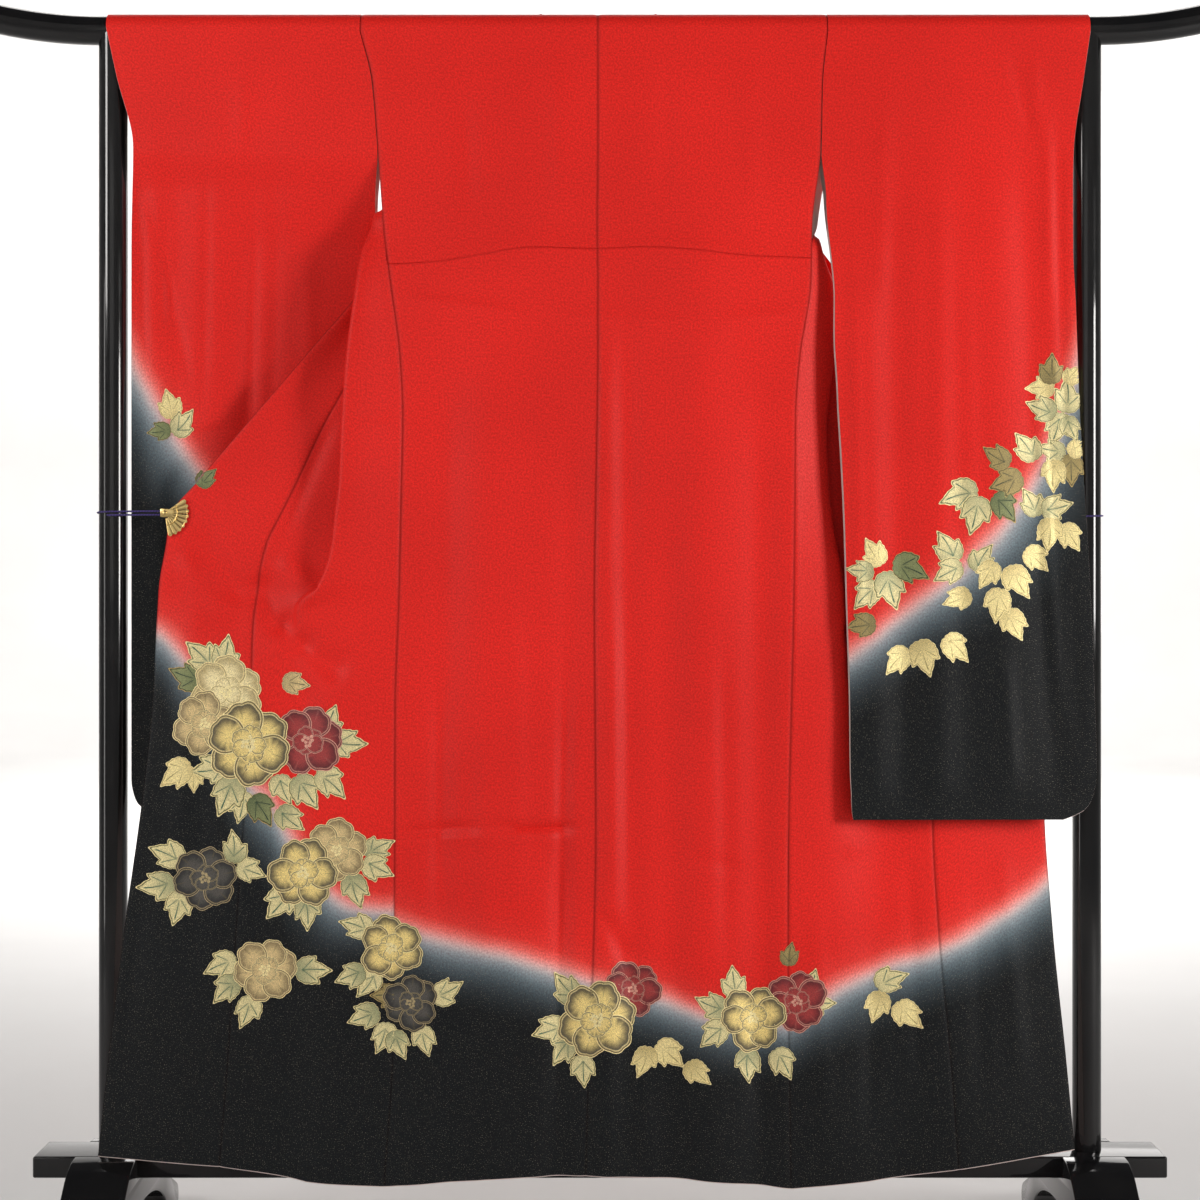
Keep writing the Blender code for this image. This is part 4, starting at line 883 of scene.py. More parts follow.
def lining_material(groups):
    material, nodes, shader = new_material("pale silk lining")
    placed = nodes.placed()
    weave = place_group(nodes, groups["crepe"], nodes.cloth_map(), Grain=LINING_GRAIN)
    cloudy = nodes.spread(nodes.noise(placed, 5.0, 3.0), 0.3, 0.7, 0.0, 0.5)
    base = nodes.mix(cloudy, LINING_COLOUR, (0.66, 0.50, 0.46))
    mottled = nodes.maths("MULTIPLY", weave["Mottle"], 0.2)
    nodes.join(nodes.mix(mottled, base, (0.9, 0.8, 0.77)), shader["Base Color"])
    nodes.join(nodes.spread(weave["Mottle"], 0.0, 1.0, 0.50, 0.40), shader["Roughness"])
    set_sockets(shader, {"Sheen Weight": 0.12})
    nodes.join(nodes.bump(weave["Height"], 0.2, 0.0003), shader["Normal"])
    return material


def gilt_print_material(groups):
    """Painted and gilded flowers: colour and metal from the drawing, broken up by the gilding's grain."""
    material, nodes, shader = new_material("gilt painting")
    placed = nodes.placed()
    gilding = place_group(nodes, groups["gilt"], placed, Grain=PAINTING_GRAIN)
    paint = nodes.attribute("paint", "Color")
    gilt = nodes.attribute("gilt")
    dull = nodes.mix(1.0, paint, (0.44, 0.43, 0.42), "MULTIPLY")
    bright = nodes.mix(1.0, paint, (1.50, 1.46, 1.36), "MULTIPLY")
    nodes.join(nodes.mix(gilding["Shine"], dull, bright), shader["Base Color"])
    metal = nodes.maths("MULTIPLY", gilt, nodes.spread(gilding["Shine"], 0.0, 1.0, 0.25, 0.75))
    nodes.join(metal, shader["Metallic"])
    nodes.join(nodes.spread(gilding["Shine"], 0.0, 1.0, 0.62, 0.40), shader["Roughness"])
    nodes.join(nodes.bump(gilding["Height"], 0.55, 0.0005), shader["Normal"])
    return material


def lacquer_material(groups):
    material, nodes, shader = new_material("black lacquer")
    placed = nodes.placed()
    gloss = place_group(nodes, groups["wear"], placed, Low=0.06, High=0.20)
    cloudy = nodes.spread(nodes.noise(placed, 16.0, 3.0), 0.3, 0.7)
    base = nodes.mix(cloudy, (0.0042, 0.0042, 0.0048), (0.0085, 0.0080, 0.0080))
    dusty = nodes.maths("MULTIPLY", gloss["Dust"], 0.10)
    nodes.join(nodes.mix(dusty, base, (0.20, 0.19, 0.18)), shader["Base Color"])
    nodes.join(gloss["Roughness"], shader["Roughness"])
    set_sockets(shader, {"Specular IOR Level": 0.25, "Coat Weight": 0.3, "Coat Roughness": 0.05})
    nodes.join(nodes.bump(nodes.noise(placed, 22.0, 2.0), 0.06, 0.002), shader["Normal"])
    return material


def metal_material(groups):
    material, nodes, shader = new_material("gilt metal")
    placed = nodes.placed()
    gloss = place_group(nodes, groups["wear"], placed, Low=0.20, High=0.38)
    gilding = place_group(nodes, groups["gilt"], placed, Grain=METAL_GRAIN)
    nodes.join(nodes.mix(gilding["Shine"], (0.60, 0.40, 0.13), GOLD), shader["Base Color"])
    set_sockets(shader, {"Metallic": 1.0})
    nodes.join(gloss["Roughness"], shader["Roughness"])
    nodes.join(nodes.bump(gilding["Height"], 0.12, 0.0003), shader["Normal"])
    return material


def cord_material():
    """Plaited purple cord: slanting strands from the cord's own map."""
    material, nodes, shader = new_material("purple plaited cord")
    split = nodes.add("ShaderNodeSeparateXYZ")
    nodes.join(nodes.cloth_map(), split.inputs[0])
    leaning = nodes.weighed(split.outputs[0], CORD_LEAN_ROUND, split.outputs[1], CORD_LEAN_ALONG)
    strands = nodes.maths("SINE", leaning)
    share = nodes.spread(strands, -1.0, 1.0)
    nodes.join(nodes.mix(share, (0.012, 0.004, 0.07), CORD_PURPLE), shader["Base Color"])
    nodes.join(nodes.spread(share, 0.0, 1.0, 0.8, 0.5), shader["Roughness"])
    set_sockets(shader, {"Sheen Weight": 0.2})
    nodes.join(nodes.bump(share, 0.6, 0.0004), shader["Normal"])
    return material


def floor_material():
    material, nodes, shader = new_material("pale floor")
    placed = nodes.placed()
    tone = nodes.spread(nodes.noise(placed, 1.5, 3.0), 0.3, 0.7)
    nodes.join(nodes.mix(tone, (0.56, 0.558, 0.555), (0.60, 0.598, 0.595)), shader["Base Color"])
    nodes.join(nodes.spread(tone, 0.0, 1.0, 0.72, 0.80), shader["Roughness"])
    return material


def make_materials():
    groups = {"crepe": crepe_group(), "gilt": gilt_group(), "wear": wear_group()}
    return {
        "crepe": crepe_material(groups),
        "lining": lining_material(groups),
        "painting": gilt_print_material(groups),
        "lacquer": lacquer_material(groups),
        "metal": metal_material(groups),
        "cord": cord_material(),
        "floor": floor_material(),
    }


MATERIALS = make_materials()

# Panels of cloth: even steps across each, and its cut's flat width and length.
BACK_STEPS, BACK_CUT = 46, (0.30, 1.62)
FRONT_STEPS, FRONT_CUT = 72, (0.27, 1.60)
GUSSET_STEPS, GUSSET_CUT = 24, (0.15, 1.32)
SLEEVE_STEPS, SLEEVE_CUT = 52, (0.345, 1.12)
COLLAR_STEPS, COLLAR_CUT = 16, (0.055, 1.98)
COLLAR_PLACES = 120
OUTER_LAYER_STEPS = 48
OVER_STEPS = 8
CLOTH_THICK = 0.0014
CLOTH_SHARP_DEGREES = 60
ROW_STEP = 0.0065
CREST_FADE = 0.02
CREST_SMOOTH_SHARE = 0.4
SEAM_CURL = 0.0010
SEAM_CURL_REACH = 0.0028
# How far the painted shade of a seam's groove reaches from the seam.
SEAM_PAINTED_SHADE_REACH = 0.0018
BORDER_STEPS = (0.004, 0.010, 0.022)
LINING_ROLL = 0.0009
ROLL_SIDES = 8
ROLL_PAST_BORDER = {"foot": 0.7, "start": -0.5}
BORDER_GAP = 0.00005
SILK, LINING = 0, 1


def tuck_lift_and_painted_shade(x, height):
    """The waist tuck's overhang above its line, and the painted shade of the line under it."""
    above = height - along_line(TUCK_LINE, x)[0]
    over = np.where(above > 0, TUCK_RISE * ease(1 - above / TUCK_HALF_BAND), 0.0)
    under = np.where(above <= 0, -TUCK_SINK * np.exp(above / TUCK_SINK_REACH), 0.0)
    shade = np.exp(-(((above + TUCK_LINE_BELOW) / TUCK_LINE_WIDTH) ** 2))
    return over + under, shade * TUCK_PAINTED_SHADE


def as_seen(places):
    """Where the camera sees these places in the upright plane of the rail: x and height."""
    scale = CAMERA_BACK / (CAMERA_BACK + places[..., 1])
    height = CAMERA_HEIGHT + (places[..., 2] - CAMERA_HEIGHT) * scale
    return places[..., 0] * scale, height


def dye_distance(line, places):
    """How far below the dyed band's middle each place lies, measured square to the band, in metres."""
    x, height = as_seen(places)
    middle, slope = along_line(line, x)
    return (middle - height) / np.sqrt(1 + slope * slope)


def across_shares(first, last, steps):
    """Even shares between two borders, with closer ones beside each border."""
    even = np.linspace(first, last, steps + 1)
    reach = last - first
    after_first = [first + reach * share for share in BORDER_STEPS]
    before_last = [last - reach * share for share in BORDER_STEPS]
    return np.unique(np.concatenate((even, after_first, before_last)).round(6))


def down_shares(foot, first=0.0, close=()):
    """Shares down a layer about a row's step apart, closer over the rail and at the listed heights."""
    over = np.linspace(0, 1, OVER_STEPS + 1)
    drop = RAIL_HEIGHT - foot
    hanging = 1 + np.linspace(0, 1, int(drop / ROW_STEP) + 1)
    near = [1 + (RAIL_HEIGHT - height) / drop for height in close]
    shares = np.unique(np.concatenate((over, hanging, near)).round(7))
    return shares[shares >= first]


def draw_in(places, trims):
    """Borders drawn in by the trims: start, end, top and foot."""
    for line, near, trim in (
        (np.s_[:, 0], np.s_[:, 1], trims[0]),
        (np.s_[:, -1], np.s_[:, -2], trims[1]),
        (np.s_[0], np.s_[1], trims[2]),
        (np.s_[-1], np.s_[-2], trims[3]),
    ):
        inward = places[near] - places[line]
        lengths = np.linalg.norm(inward, axis=-1, keepdims=True)
        places[line] = places[line] + inward / lengths * np.minimum(trim, lengths * 0.5)
    return places


def running_length(places, axis):
    steps = np.linalg.norm(np.diff(places, axis=axis), axis=-1)
    start = np.zeros_like(np.take(steps, [0], axis=axis))
    return np.cumsum(np.concatenate((start, steps), axis=axis), axis=axis)


def grid_mesh(name, places):
    """A mesh grid moved onto rows and columns of places, and for each vertex its row and column."""
    rows, columns = places.shape[:2]
    shape = bmesh.new()
    bmesh.ops.create_grid(shape, x_segments=columns - 1, y_segments=rows - 1, size=0.5)
    mesh = bpy.data.meshes.new(name)
    shape.to_mesh(mesh)
    shape.free()
    flat = np.empty(len(mesh.vertices) * 3, np.float32)
    mesh.vertices.foreach_get("co", flat)
    flat = flat.reshape(-1, 3)
    column = np.rint((flat[:, 0] + 0.5) * (columns - 1)).astype(int)
    row = np.rint((flat[:, 1] + 0.5) * (rows - 1)).astype(int)
    mesh.vertices.foreach_set("co", places[row, column].astype(np.float32).ravel())
    return mesh, row, column


def set_attribute(mesh, name, values):
    layer = mesh.attributes.new(name, "FLOAT", "POINT")
    layer.data.foreach_set("value", values.astype(np.float32).ravel())


def set_uv(mesh, across, down):
    """A map in metres of cloth, so that the weave follows the surface."""
    corner = np.empty(len(mesh.loops), np.int32)
    mesh.loops.foreach_get("vertex_index", corner)
    layer = mesh.uv_layers.new(name="cloth")
    layer.data.foreach_set("uv", np.stack((across[corner], down[corner]), axis=-1).astype(np.float32).ravel())


def link(name, data):
    made = bpy.data.objects.new(name, data)
    bpy.context.scene.collection.objects.link(made)
    return made


def apply_modifiers(piece):
    bpy.context.view_layer.update()
    evaluated = piece.evaluated_get(bpy.context.evaluated_depsgraph_get())
    mesh = bpy.data.meshes.new_from_object(evaluated)
    piece.modifiers.clear()
    piece.data = mesh


def cloth_panel(name, places, normals, outward, dye, seams, shade=None):
    """One panel: a fine grid on its solid's form, thickened, with the lining as its inner face.

    outward is 1 where the normals point out of the garment and -1 where they point into it. seams lists
    the borders that are sewn: start, end or top; along each the cloth curls into a groove and its colour
    gets painted shade. shade, where given, is more painted shade, as under the waist tuck.
    """
    across = running_length(places, 1)
    down = running_length(places, 0)
    seam_painted_shade = np.zeros(places.shape[:2]) if shade is None else shade.copy()
    distances = {"start": across, "end": across[:, -1:] - across, "top": down, "foot": down[-1:] - down}
    lift = np.zeros(places.shape[:2])
    # Each sewn border curls into a groove and gets painted shade in its colour.
    for border in seams:
        lift -= SEAM_CURL * np.exp(-((distances[border] / SEAM_CURL_REACH) ** 2))
        seam_painted_shade = np.maximum(seam_painted_shade, np.exp(-((distances[border] / SEAM_PAINTED_SHADE_REACH) ** 2)))
    moved = places + normals * (outward * lift)[..., None]
    mesh, row, column = grid_mesh(name, moved)
    set_attribute(mesh, "dye", dye_distance(DYE_LINES[dye], moved)[row, column])
    set_attribute(mesh, "seam", seam_painted_shade[row, column])
    set_uv(mesh, across[row, column], down[row, column])
    first = mesh.polygons[0]
    want = normals[row[first.vertices[0]], column[first.vertices[0]]] * outward
    if np.dot(np.array(first.normal), want) < 0:
        mesh.flip_normals()
    mesh.materials.append(MATERIALS["crepe"])
    mesh.materials.append(MATERIALS["lining"])
    mesh.shade_smooth()
    piece = link(name, mesh)
    wall = piece.modifiers.new("thickness", "SOLIDIFY")
    wall.thickness = CLOTH_THICK
    wall.offset = 0
    wall.material_offset = LINING
    wall.material_offset_rim = SILK
    apply_modifiers(piece)
    piece.data.set_sharp_from_angle(angle=math.radians(CLOTH_SHARP_DEGREES))
    return piece, moved


def ring_places(path, radius, sides, reference=None):
    """Round sections along a path, each starting square to the reference, and the turns round them."""
    ahead = np.gradient(path, axis=0)
    ahead /= np.linalg.norm(ahead, axis=1, keepdims=True)
    if reference is None:
        reference = np.where(abs(ahead[:, 1:2]) > 0.9, (1.0, 0.0, 0.0), (0.0, 1.0, 0.0))
    first = np.cross(ahead, reference)
    first /= np.linalg.norm(first, axis=1, keepdims=True)
    second = np.cross(ahead, first)
    turn = np.linspace(0, 2 * np.pi, sides + 1)
    ring = np.cos(turn)[None, :, None] * first[:, None] + np.sin(turn)[None, :, None] * second[:, None]
    return path[:, None] + ring * radius, turn


def closed_tube(mesh, merge):
    """A grid that runs round a path, with its long edges joined and its ends filled."""
    shape = bmesh.new()
    shape.from_mesh(mesh)
    bmesh.ops.remove_doubles(shape, verts=shape.verts, dist=merge)
    bmesh.ops.holes_fill(shape, edges=[edge for edge in shape.edges if edge.is_boundary], sides=0)
    return shape


def roll_along(name, path, radius):
    """A thin rolled edge of lining along a line of places."""
    mesh = grid_mesh(name, ring_places(path, radius, ROLL_SIDES)[0])[0]
    shape = closed_tube(mesh, radius * 0.01)
    bmesh.ops.recalc_face_normals(shape, faces=shape.faces)
    shape.to_mesh(mesh)
    shape.free()
    mesh.shade_smooth()
    mesh.materials.append(MATERIALS["lining"])
    return link(name, mesh)


def place_on_body(piece, node):
    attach(piece, "root")
    if node:
        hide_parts(node)


def roll_at_border(name, places, normals, outward, border):
    """The lining's rolled edge along a foot (foot) or cuff (start), behind the cloth's border."""
    line = {"foot": np.s_[-1], "start": np.s_[:, 0]}[border]
    beside = {"foot": np.s_[-2], "start": np.s_[:, 1]}[border]
    past = places[line] - places[beside]
    past /= np.linalg.norm(past, axis=-1, keepdims=True)
    behind = normals[line] * outward * LINING_ROLL
    path = places[line] + past * LINING_ROLL * ROLL_PAST_BORDER[border] - behind
    roll = roll_along(name, path, LINING_ROLL)
    place_on_body(roll, None)
    return roll


def finish_panel(node, points, across, down, outward, trims, dye, seams, creases, rolls, sheet, shaded=None):
    """Builds one panel over its layer's shares, with its creases, its rolled borders and its cut."""
    places, normals = grid_places(points, across, down)
    x, height = places[..., 0], places[..., 2]
    lift = crease_rise(creases, x, height)
    shade = None
    # shaded gives extra lift and painted shade, as under the waist tuck.
    if shaded is not None:
        extra, shade = shaded(x, height)
        lift = lift + extra
    fade = ease((places[..., 2].max() - height) / CREST_FADE - CREST_SMOOTH_SHARE)
    places = places + normals * (outward * lift * fade)[..., None]
    places = draw_in(places, trims)
    piece, moved = cloth_panel("cloth_" + node, places, normals, outward, dye, seams, shade)
    place_on_body(piece, node)
    edges = [
        roll_at_border("lining_%s_%s" % (node, border), moved, normals, outward, border) for border in rolls
    ]
    PANELS[node] = {"piece": piece, "with": edges, "sheet": sheet}


# Each cloth piece by its CAD node, with the pieces laid on it and its cut.
PANELS = {}

# Rows close together across the waist tuck.
TUCK_ROWS = tuple(np.arange(1.376, 1.416, 0.001).round(4))


def make_back():
    cut = {"flat": BACK_CUT, "rests_on": ["rail"]}
    down = down_shares(BACK_HEM[2][1], close=TUCK_ROWS)
    trims = (BORDER_GAP, BORDER_GAP, BORDER_GAP, 0)
    for node, ends, seams in (
        ("back_left", (-1.0, 0.0), ("end", "start")),
        ("back_right", (0.0, 1.0), ("start", "end")),
    ):
        finish_panel(
            node, back_points, across_shares(*ends, BACK_STEPS), down, -1, trims, "back", seams, BACK_CREASES,
            ("foot",), cut, tuck_lift_and_painted_shade,
        )


def make_fronts():
    """Each front from its side seam to the okumi's seam, and the okumi from there to the collar."""
    for side, creases in (("left", LEFT_FRONT_CREASES), ("right", RIGHT_FRONT_CREASES)):

        def points(across, down, side=side):
            return front_points(side, across, down)

        for node, ends, steps, first_row, trims, seams, flat, rests_on in (
            (
                "front_", (0.0, SEAM_KNOT), FRONT_STEPS, 0.0, (BORDER_GAP, BORDER_GAP, BORDER_GAP, 0),
                ("end", "start"), FRONT_CUT, "rail",
            ),
            (
                "okumi_", (SEAM_KNOT, 1.0), GUSSET_STEPS, GUSSET_FIRST_ROW, (BORDER_GAP, 0, 0, 0),
                ("start", "end"), GUSSET_CUT, "cloth_front_" + side,
            ),
        ):
            across = across_shares(*ends, steps)
            down = down_shares(HEMS[side][-1][1], first=first_row)
            cut = {"flat": flat, "rests_on": [rests_on]}
            finish_panel(
                node + side, points, across, down, -OUTWARD[side], trims, side + "_front", seams, creases,
                ("foot",), cut,
            )


def make_sleeves():
    """Two layers a side; a crease that stands out of the near one sinks into the far one behind it."""
    for side, creases in (("left", LEFT_SLEEVE_CREASES), ("right", RIGHT_SLEEVE_CREASES)):
        for layer, turn in (("near", 1), ("far", -1)):

            def points(across, down, side=side, layer=layer):
                return sleeve_points(side, layer, across, down)

            own = [(*crease[:5], crease[5] * turn) for crease in creases]
            cut = {"flat": SLEEVE_CUT, "rests_on": ["rail"]}
            finish_panel(
                "sleeve_%s_%s" % (side, layer), points, across_shares(0.0, 1.0, SLEEVE_STEPS),
                down_shares(SLEEVE_FEET[side]), OUTWARD[side] * turn, (0, 0, BORDER_GAP, 0),
                side + "_sleeve", (), own, ("start",), cut,
            )


def outer_layer_depth(side, x, height):
    """Depth of the front's outermost stretch, between its valley and its edge, at this place."""
    shares = np.linspace(VALLEY_KNOT, 1.0, OUTER_LAYER_STEPS + 1)
    downs = 1 + (RAIL_HEIGHT - height) / (RAIL_HEIGHT - hem_at(HEMS[side], shares))
    row = front_points(side, shares, downs)
    order = np.argsort(row[:, 0])
    return float(np.interp(x, row[order, 0], row[order, 1]))


def collar_side_line(side, heights, shares):
    """The sewn edge and the free edge of the collar from the clip up to the neck."""
    toward = -OUTWARD[side]
    stations = []
    for height in heights:
        row = FRONTS[side].at(np.array(height))
        turn = ease((COLLAR_LEAN_TOP - height) / COLLAR_LEAN_DROP)
        lean = math.radians(COLLAR_LEAN_DEGREES * turn)
        direction = (toward * math.sin(lean), -math.cos(lean))
        line = []
        for share in shares:
            x = row["edge_x"] + direction[0] * COLLAR_WIDTH * share
            z = height + direction[1] * COLLAR_WIDTH * share
            depth = max(outer_layer_depth(side, x, z), row["edge_y"] - COLLAR_LIFT * share)
            line.append((x, depth + COLLAR_BEHIND, z))
        stations.append(line)
    return stations


def neck_line(x, radius, start_turn, shares):
    """The collar from the crest down the far side of the rail."""
    line = []
    for share in shares:
        turn = start_turn + (1 - start_turn) * min(share * 2, 1)
        angle = math.pi / 2 * (1 - turn)
        drop = max(share - 0.5, 0) * NECK_DROP * 2
        line.append((x, radius * math.cos(angle), RAIL_HEIGHT + radius * math.sin(angle) - drop))
    return line


def make_collar():
    """One band, folded along its length: up the left front, round the neck and down the right front."""
    shares = np.linspace(0, 1, COLLAR_STEPS + 1)
    listed = range(len(COLLAR_STATIONS))
    heights = np.interp(np.linspace(0, listed[-1], COLLAR_PLACES), listed, COLLAR_STATIONS)
    neck = [neck_line(*row, shares) for row in NECK_ROWS]
    left, right = (collar_side_line(side, heights, shares) for side in ("left", "right"))
    places = np.array(left + neck + right[::-1], float)
    normals = np.cross(np.gradient(places, axis=0), np.gradient(places, axis=1))
    normals /= np.linalg.norm(normals, axis=-1, keepdims=True)
    piece = cloth_panel("cloth_collar", places, normals, 1, "back", ("start",))[0]
    for face in piece.data.polygons:
        face.material_index = SILK
    place_on_body(piece, "collar")
    sheet = {"flat": COLLAR_CUT, "rests_on": ["rail", "cloth_front_left"]}
    PANELS["collar"] = {"piece": piece, "with": [], "sheet": sheet}


# Lacquered stand
FINE_SIDES = 64
SAME_PLACE = 1e-6
SHORTEST_EDGE = 1e-7
EDGE_ROUND = 0.003
FOOT_EDGE_ROUND = 0.0022
RAIL_BEND_STEPS = 16
POST_CUTS = 24
PROFILE_STEPS = 36
ARCH_STEPS = 24


def round_edges(shape, edges, offset, segments):
    bmesh.ops.bevel(
        shape, geom=edges, offset=offset, segments=segments, affect="EDGES", profile=0.5, material=-1
    )


def box_shape(low, high, round_by, segments):
    """A box between two corners, with its edges rounded."""
    shape = bmesh.new()
    bmesh.ops.create_cube(shape, size=1)
    bmesh.ops.scale(shape, verts=shape.verts, vec=[top - bottom for bottom, top in zip(low, high)])
    bmesh.ops.translate(shape, verts=shape.verts, vec=[(top + bottom) / 2 for bottom, top in zip(low, high)])
    round_edges(shape, shape.edges[:], round_by, segments)
    return shape


def add_shape(target, source):
    """Moves one bmesh's faces into another."""
    mesh = bpy.data.meshes.new("joined")
    source.to_mesh(mesh)
    source.free()
    target.from_mesh(mesh)
    bpy.data.meshes.remove(mesh)


def mesh_from(name, shape, material):
    """Ends a bmesh as a smooth-shaded mesh of one material."""
    mesh = bpy.data.meshes.new(name)
    shape.to_mesh(mesh)
    shape.free()
    mesh.materials.append(MATERIALS[material])
    mesh.shade_smooth()
    return mesh


def piece_from(name, shape, material, node=None, sharp=40):
    """Closes a bmesh into a smooth-shaded piece that stands for its CAD node."""
    bmesh.ops.recalc_face_normals(shape, faces=shape.faces)
    mesh = mesh_from(name, shape, material)
    mesh.set_sharp_from_angle(angle=math.radians(sharp))
    piece = link(name, mesh)
    place_on_body(piece, node)
    return piece


def tube_shape(path, radius, sides, end_round):
    """A round bar along a path in the upright plane of the rail, with rounded ends."""
    shape = bmesh.new()
    rings = []
    for index, place in enumerate(path):
        ahead = (path[min(index + 1, len(path) - 1)] - path[max(index - 1, 0)]).normalized()
        up = Vector((0, 1, 0)).cross(ahead)
        made = bmesh.ops.create_circle(shape, segments=sides, radius=radius)["verts"]
        for vert in made:
            vert.co = place + up * vert.co.x + Vector((0, 1, 0)) * vert.co.y
        rings.append([edge for edge in shape.edges if edge.verts[0] in made and edge.verts[1] in made])
    bmesh.ops.bridge_loops(shape, edges=[edge for ring in rings for edge in ring])
    caps = bmesh.ops.holes_fill(shape, edges=shape.edges[:], sides=0)["faces"]
    round_edges(shape, [edge for cap in caps for edge in cap.edges], end_round, 4)
    return shape


def make_rail():
    path = []
    most_turn = math.asin((RAIL_HALF - RAIL_STRAIGHT_HALF) / RAIL_BEND_RADIUS)
    for step in range(RAIL_BEND_STEPS + 1):
        turn = most_turn * step / RAIL_BEND_STEPS
        rise = RAIL_BEND_RADIUS * (1 - math.cos(turn))
        path.append(Vector((RAIL_STRAIGHT_HALF + RAIL_BEND_RADIUS * math.sin(turn), 0, RAIL_HEIGHT + rise)))
    left = [Vector((-place.x, 0, place.z)) for place in reversed(path)]
    shape = tube_shape(left + path, RAIL_RADIUS, FINE_SIDES, RAIL_END_ROUND)
    piece_from("lacquered_rail", shape, "lacquer", "rail")


def make_posts():
    """Each post ends in a saddle hollowed to the rail, a hair below it all round."""
    foot = BEAM_TOP + SEAM_GAP
    for side, node in ((-1, "post_left"), (1, "post_right")):
        shape = bmesh.new()
        bmesh.ops.create_cone(
            shape, cap_ends=True, segments=FINE_SIDES, radius1=POST_RADIUS, radius2=POST_RADIUS, depth=1.0
        )
        upright = [edge for edge in shape.edges if abs(edge.verts[0].co.z - edge.verts[1].co.z) > 0.5]
        bmesh.ops.subdivide_edges(shape, edges=upright, cuts=POST_CUTS)
        top_face = max(shape.faces, key=lambda face: face.calc_center_median().z)
        bmesh.ops.inset_region(shape, faces=[top_face], thickness=POST_RADIUS / 2)
        reach = RAIL_RADIUS + SADDLE_CLEAR
        for vert in shape.verts:
            share = vert.co.z + 0.5
            off = min(abs(vert.co.y), reach * 0.98)
            top = RAIL_HEIGHT - max(math.sqrt(reach * reach - off * off), POST_BELOW_RAIL_CENTRE)
            vert.co.z = foot + share * (top - foot)
            vert.co.x += side * POST_X
        piece_from("lacquered_" + node, shape, "lacquer", node)


def make_beam():
    low = (-BEAM_HALF, -BEAM_HALF_DEPTH, BEAM_BOTTOM)
    shape = box_shape(low, (BEAM_HALF, BEAM_HALF_DEPTH, BEAM_TOP), EDGE_ROUND, 4)
    piece_from("lacquered_beam", shape, "lacquer", "beam", sharp=60)


def foot_profile():
    """Half of a foot from the beam's housing to the floor, with its steps read along a smooth curve."""
    places = np.array(FOOT_PROFILE)
    slopes = np.gradient(places, axis=0)
    fine = []
    for share in np.linspace(0, len(places) - 1, PROFILE_STEPS + 1):
        span = min(int(share), len(places) - 2)
        fine.append(hermite(places[span], places[span + 1], slopes[span], slopes[span + 1], share - span))
    return [(float(depth), max(float(height), 0.0)) for depth, height in fine]


def make_feet():
    housing = BEAM_HALF_DEPTH + SEAM_GAP
    half = [(housing, BEAM_BOTTOM - SEAM_GAP), (housing, BEAM_TOP)] + foot_profile()
    arch = []
    for step in range(ARCH_STEPS + 1):
        turn = math.pi / 2 * step / ARCH_STEPS
        arch.append((FOOT_ARCH_HALF * math.cos(turn), FOOT_ARCH_HEIGHT * math.sin(turn)))
    right = half + arch
    outline = right + [(-depth, height) for depth, height in reversed(right[:-1])]
    for side, node in ((-1, "foot_left"), (1, "foot_right")):
        shape = bmesh.new()
        inner = side * FOOT_X - FOOT_HALF_WIDTH
        board = shape.faces.new([shape.verts.new((inner, depth, height)) for depth, height in outline])
        swept = bmesh.ops.extrude_face_region(shape, geom=[board])
        moved = [piece for piece in swept["geom"] if isinstance(piece, bmesh.types.BMVert)]
        bmesh.ops.translate(shape, verts=moved, vec=(2 * FOOT_HALF_WIDTH, 0, 0))
        rims = [edge for edge in shape.edges if abs(edge.verts[0].co.x - edge.verts[1].co.x) < 0.001]
        round_edges(shape, rims, FOOT_EDGE_ROUND, 3)
        piece_from("lacquered_" + node, shape, "lacquer", node, sharp=35)


def make_stand():
    make_rail()
    make_posts()
    make_beam()
    make_feet()


# Clips: arcs of wire across the ribs, by share of the fan's radius and thickness, and the rivet at its hub.
FAN_ARCS = ((0.52, 0.0007), (0.93, 0.0005))
FAN_ARC_STEPS = 40
FAN_ARC_SIDES = 8
FAN_ARC_START_SHARE = 0.02
FAN_ARC_SHARE = 0.96
RIB_STEPS_ACROSS = 6
RIB_STEPS_ALONG = 12
RIB_THICK_SHARE = 0.75
RIB_END_ROUND = 0.10
RIB_GAP_SHARE = 0.04
RIB_INNER_CROWN = 0.4
CLIP_EDGE_ROUND = 0.0006
RIVET_RADIUS = 0.0032
RIVET_FLAT = 0.45


def cloth_face(side, x, z):
    """Depth of the front's outer face near the clip, carried on level past the edge."""
    edge = FRONTS[side].at(np.array(z))
    beyond = x < edge["edge_x"] if side == "left" else x > edge["edge_x"]
    depth = float(edge["edge_y"]) if beyond else outer_layer_depth(side, x, z)
    return depth - HALF_WALL


def fan_place(side, turn, radius, lift):
    """A place on the open fan, at this turn from level and this radius, lifted off the cloth's face."""
    hub = CLIP_PLACES[side]
    toward = -OUTWARD[side]
    x = hub[0] + toward * radius * math.cos(turn)
    z = hub[1] + radius * math.sin(turn)
    return Vector((x, cloth_face(side, x, z) - CLIP_CLEAR - lift, z))


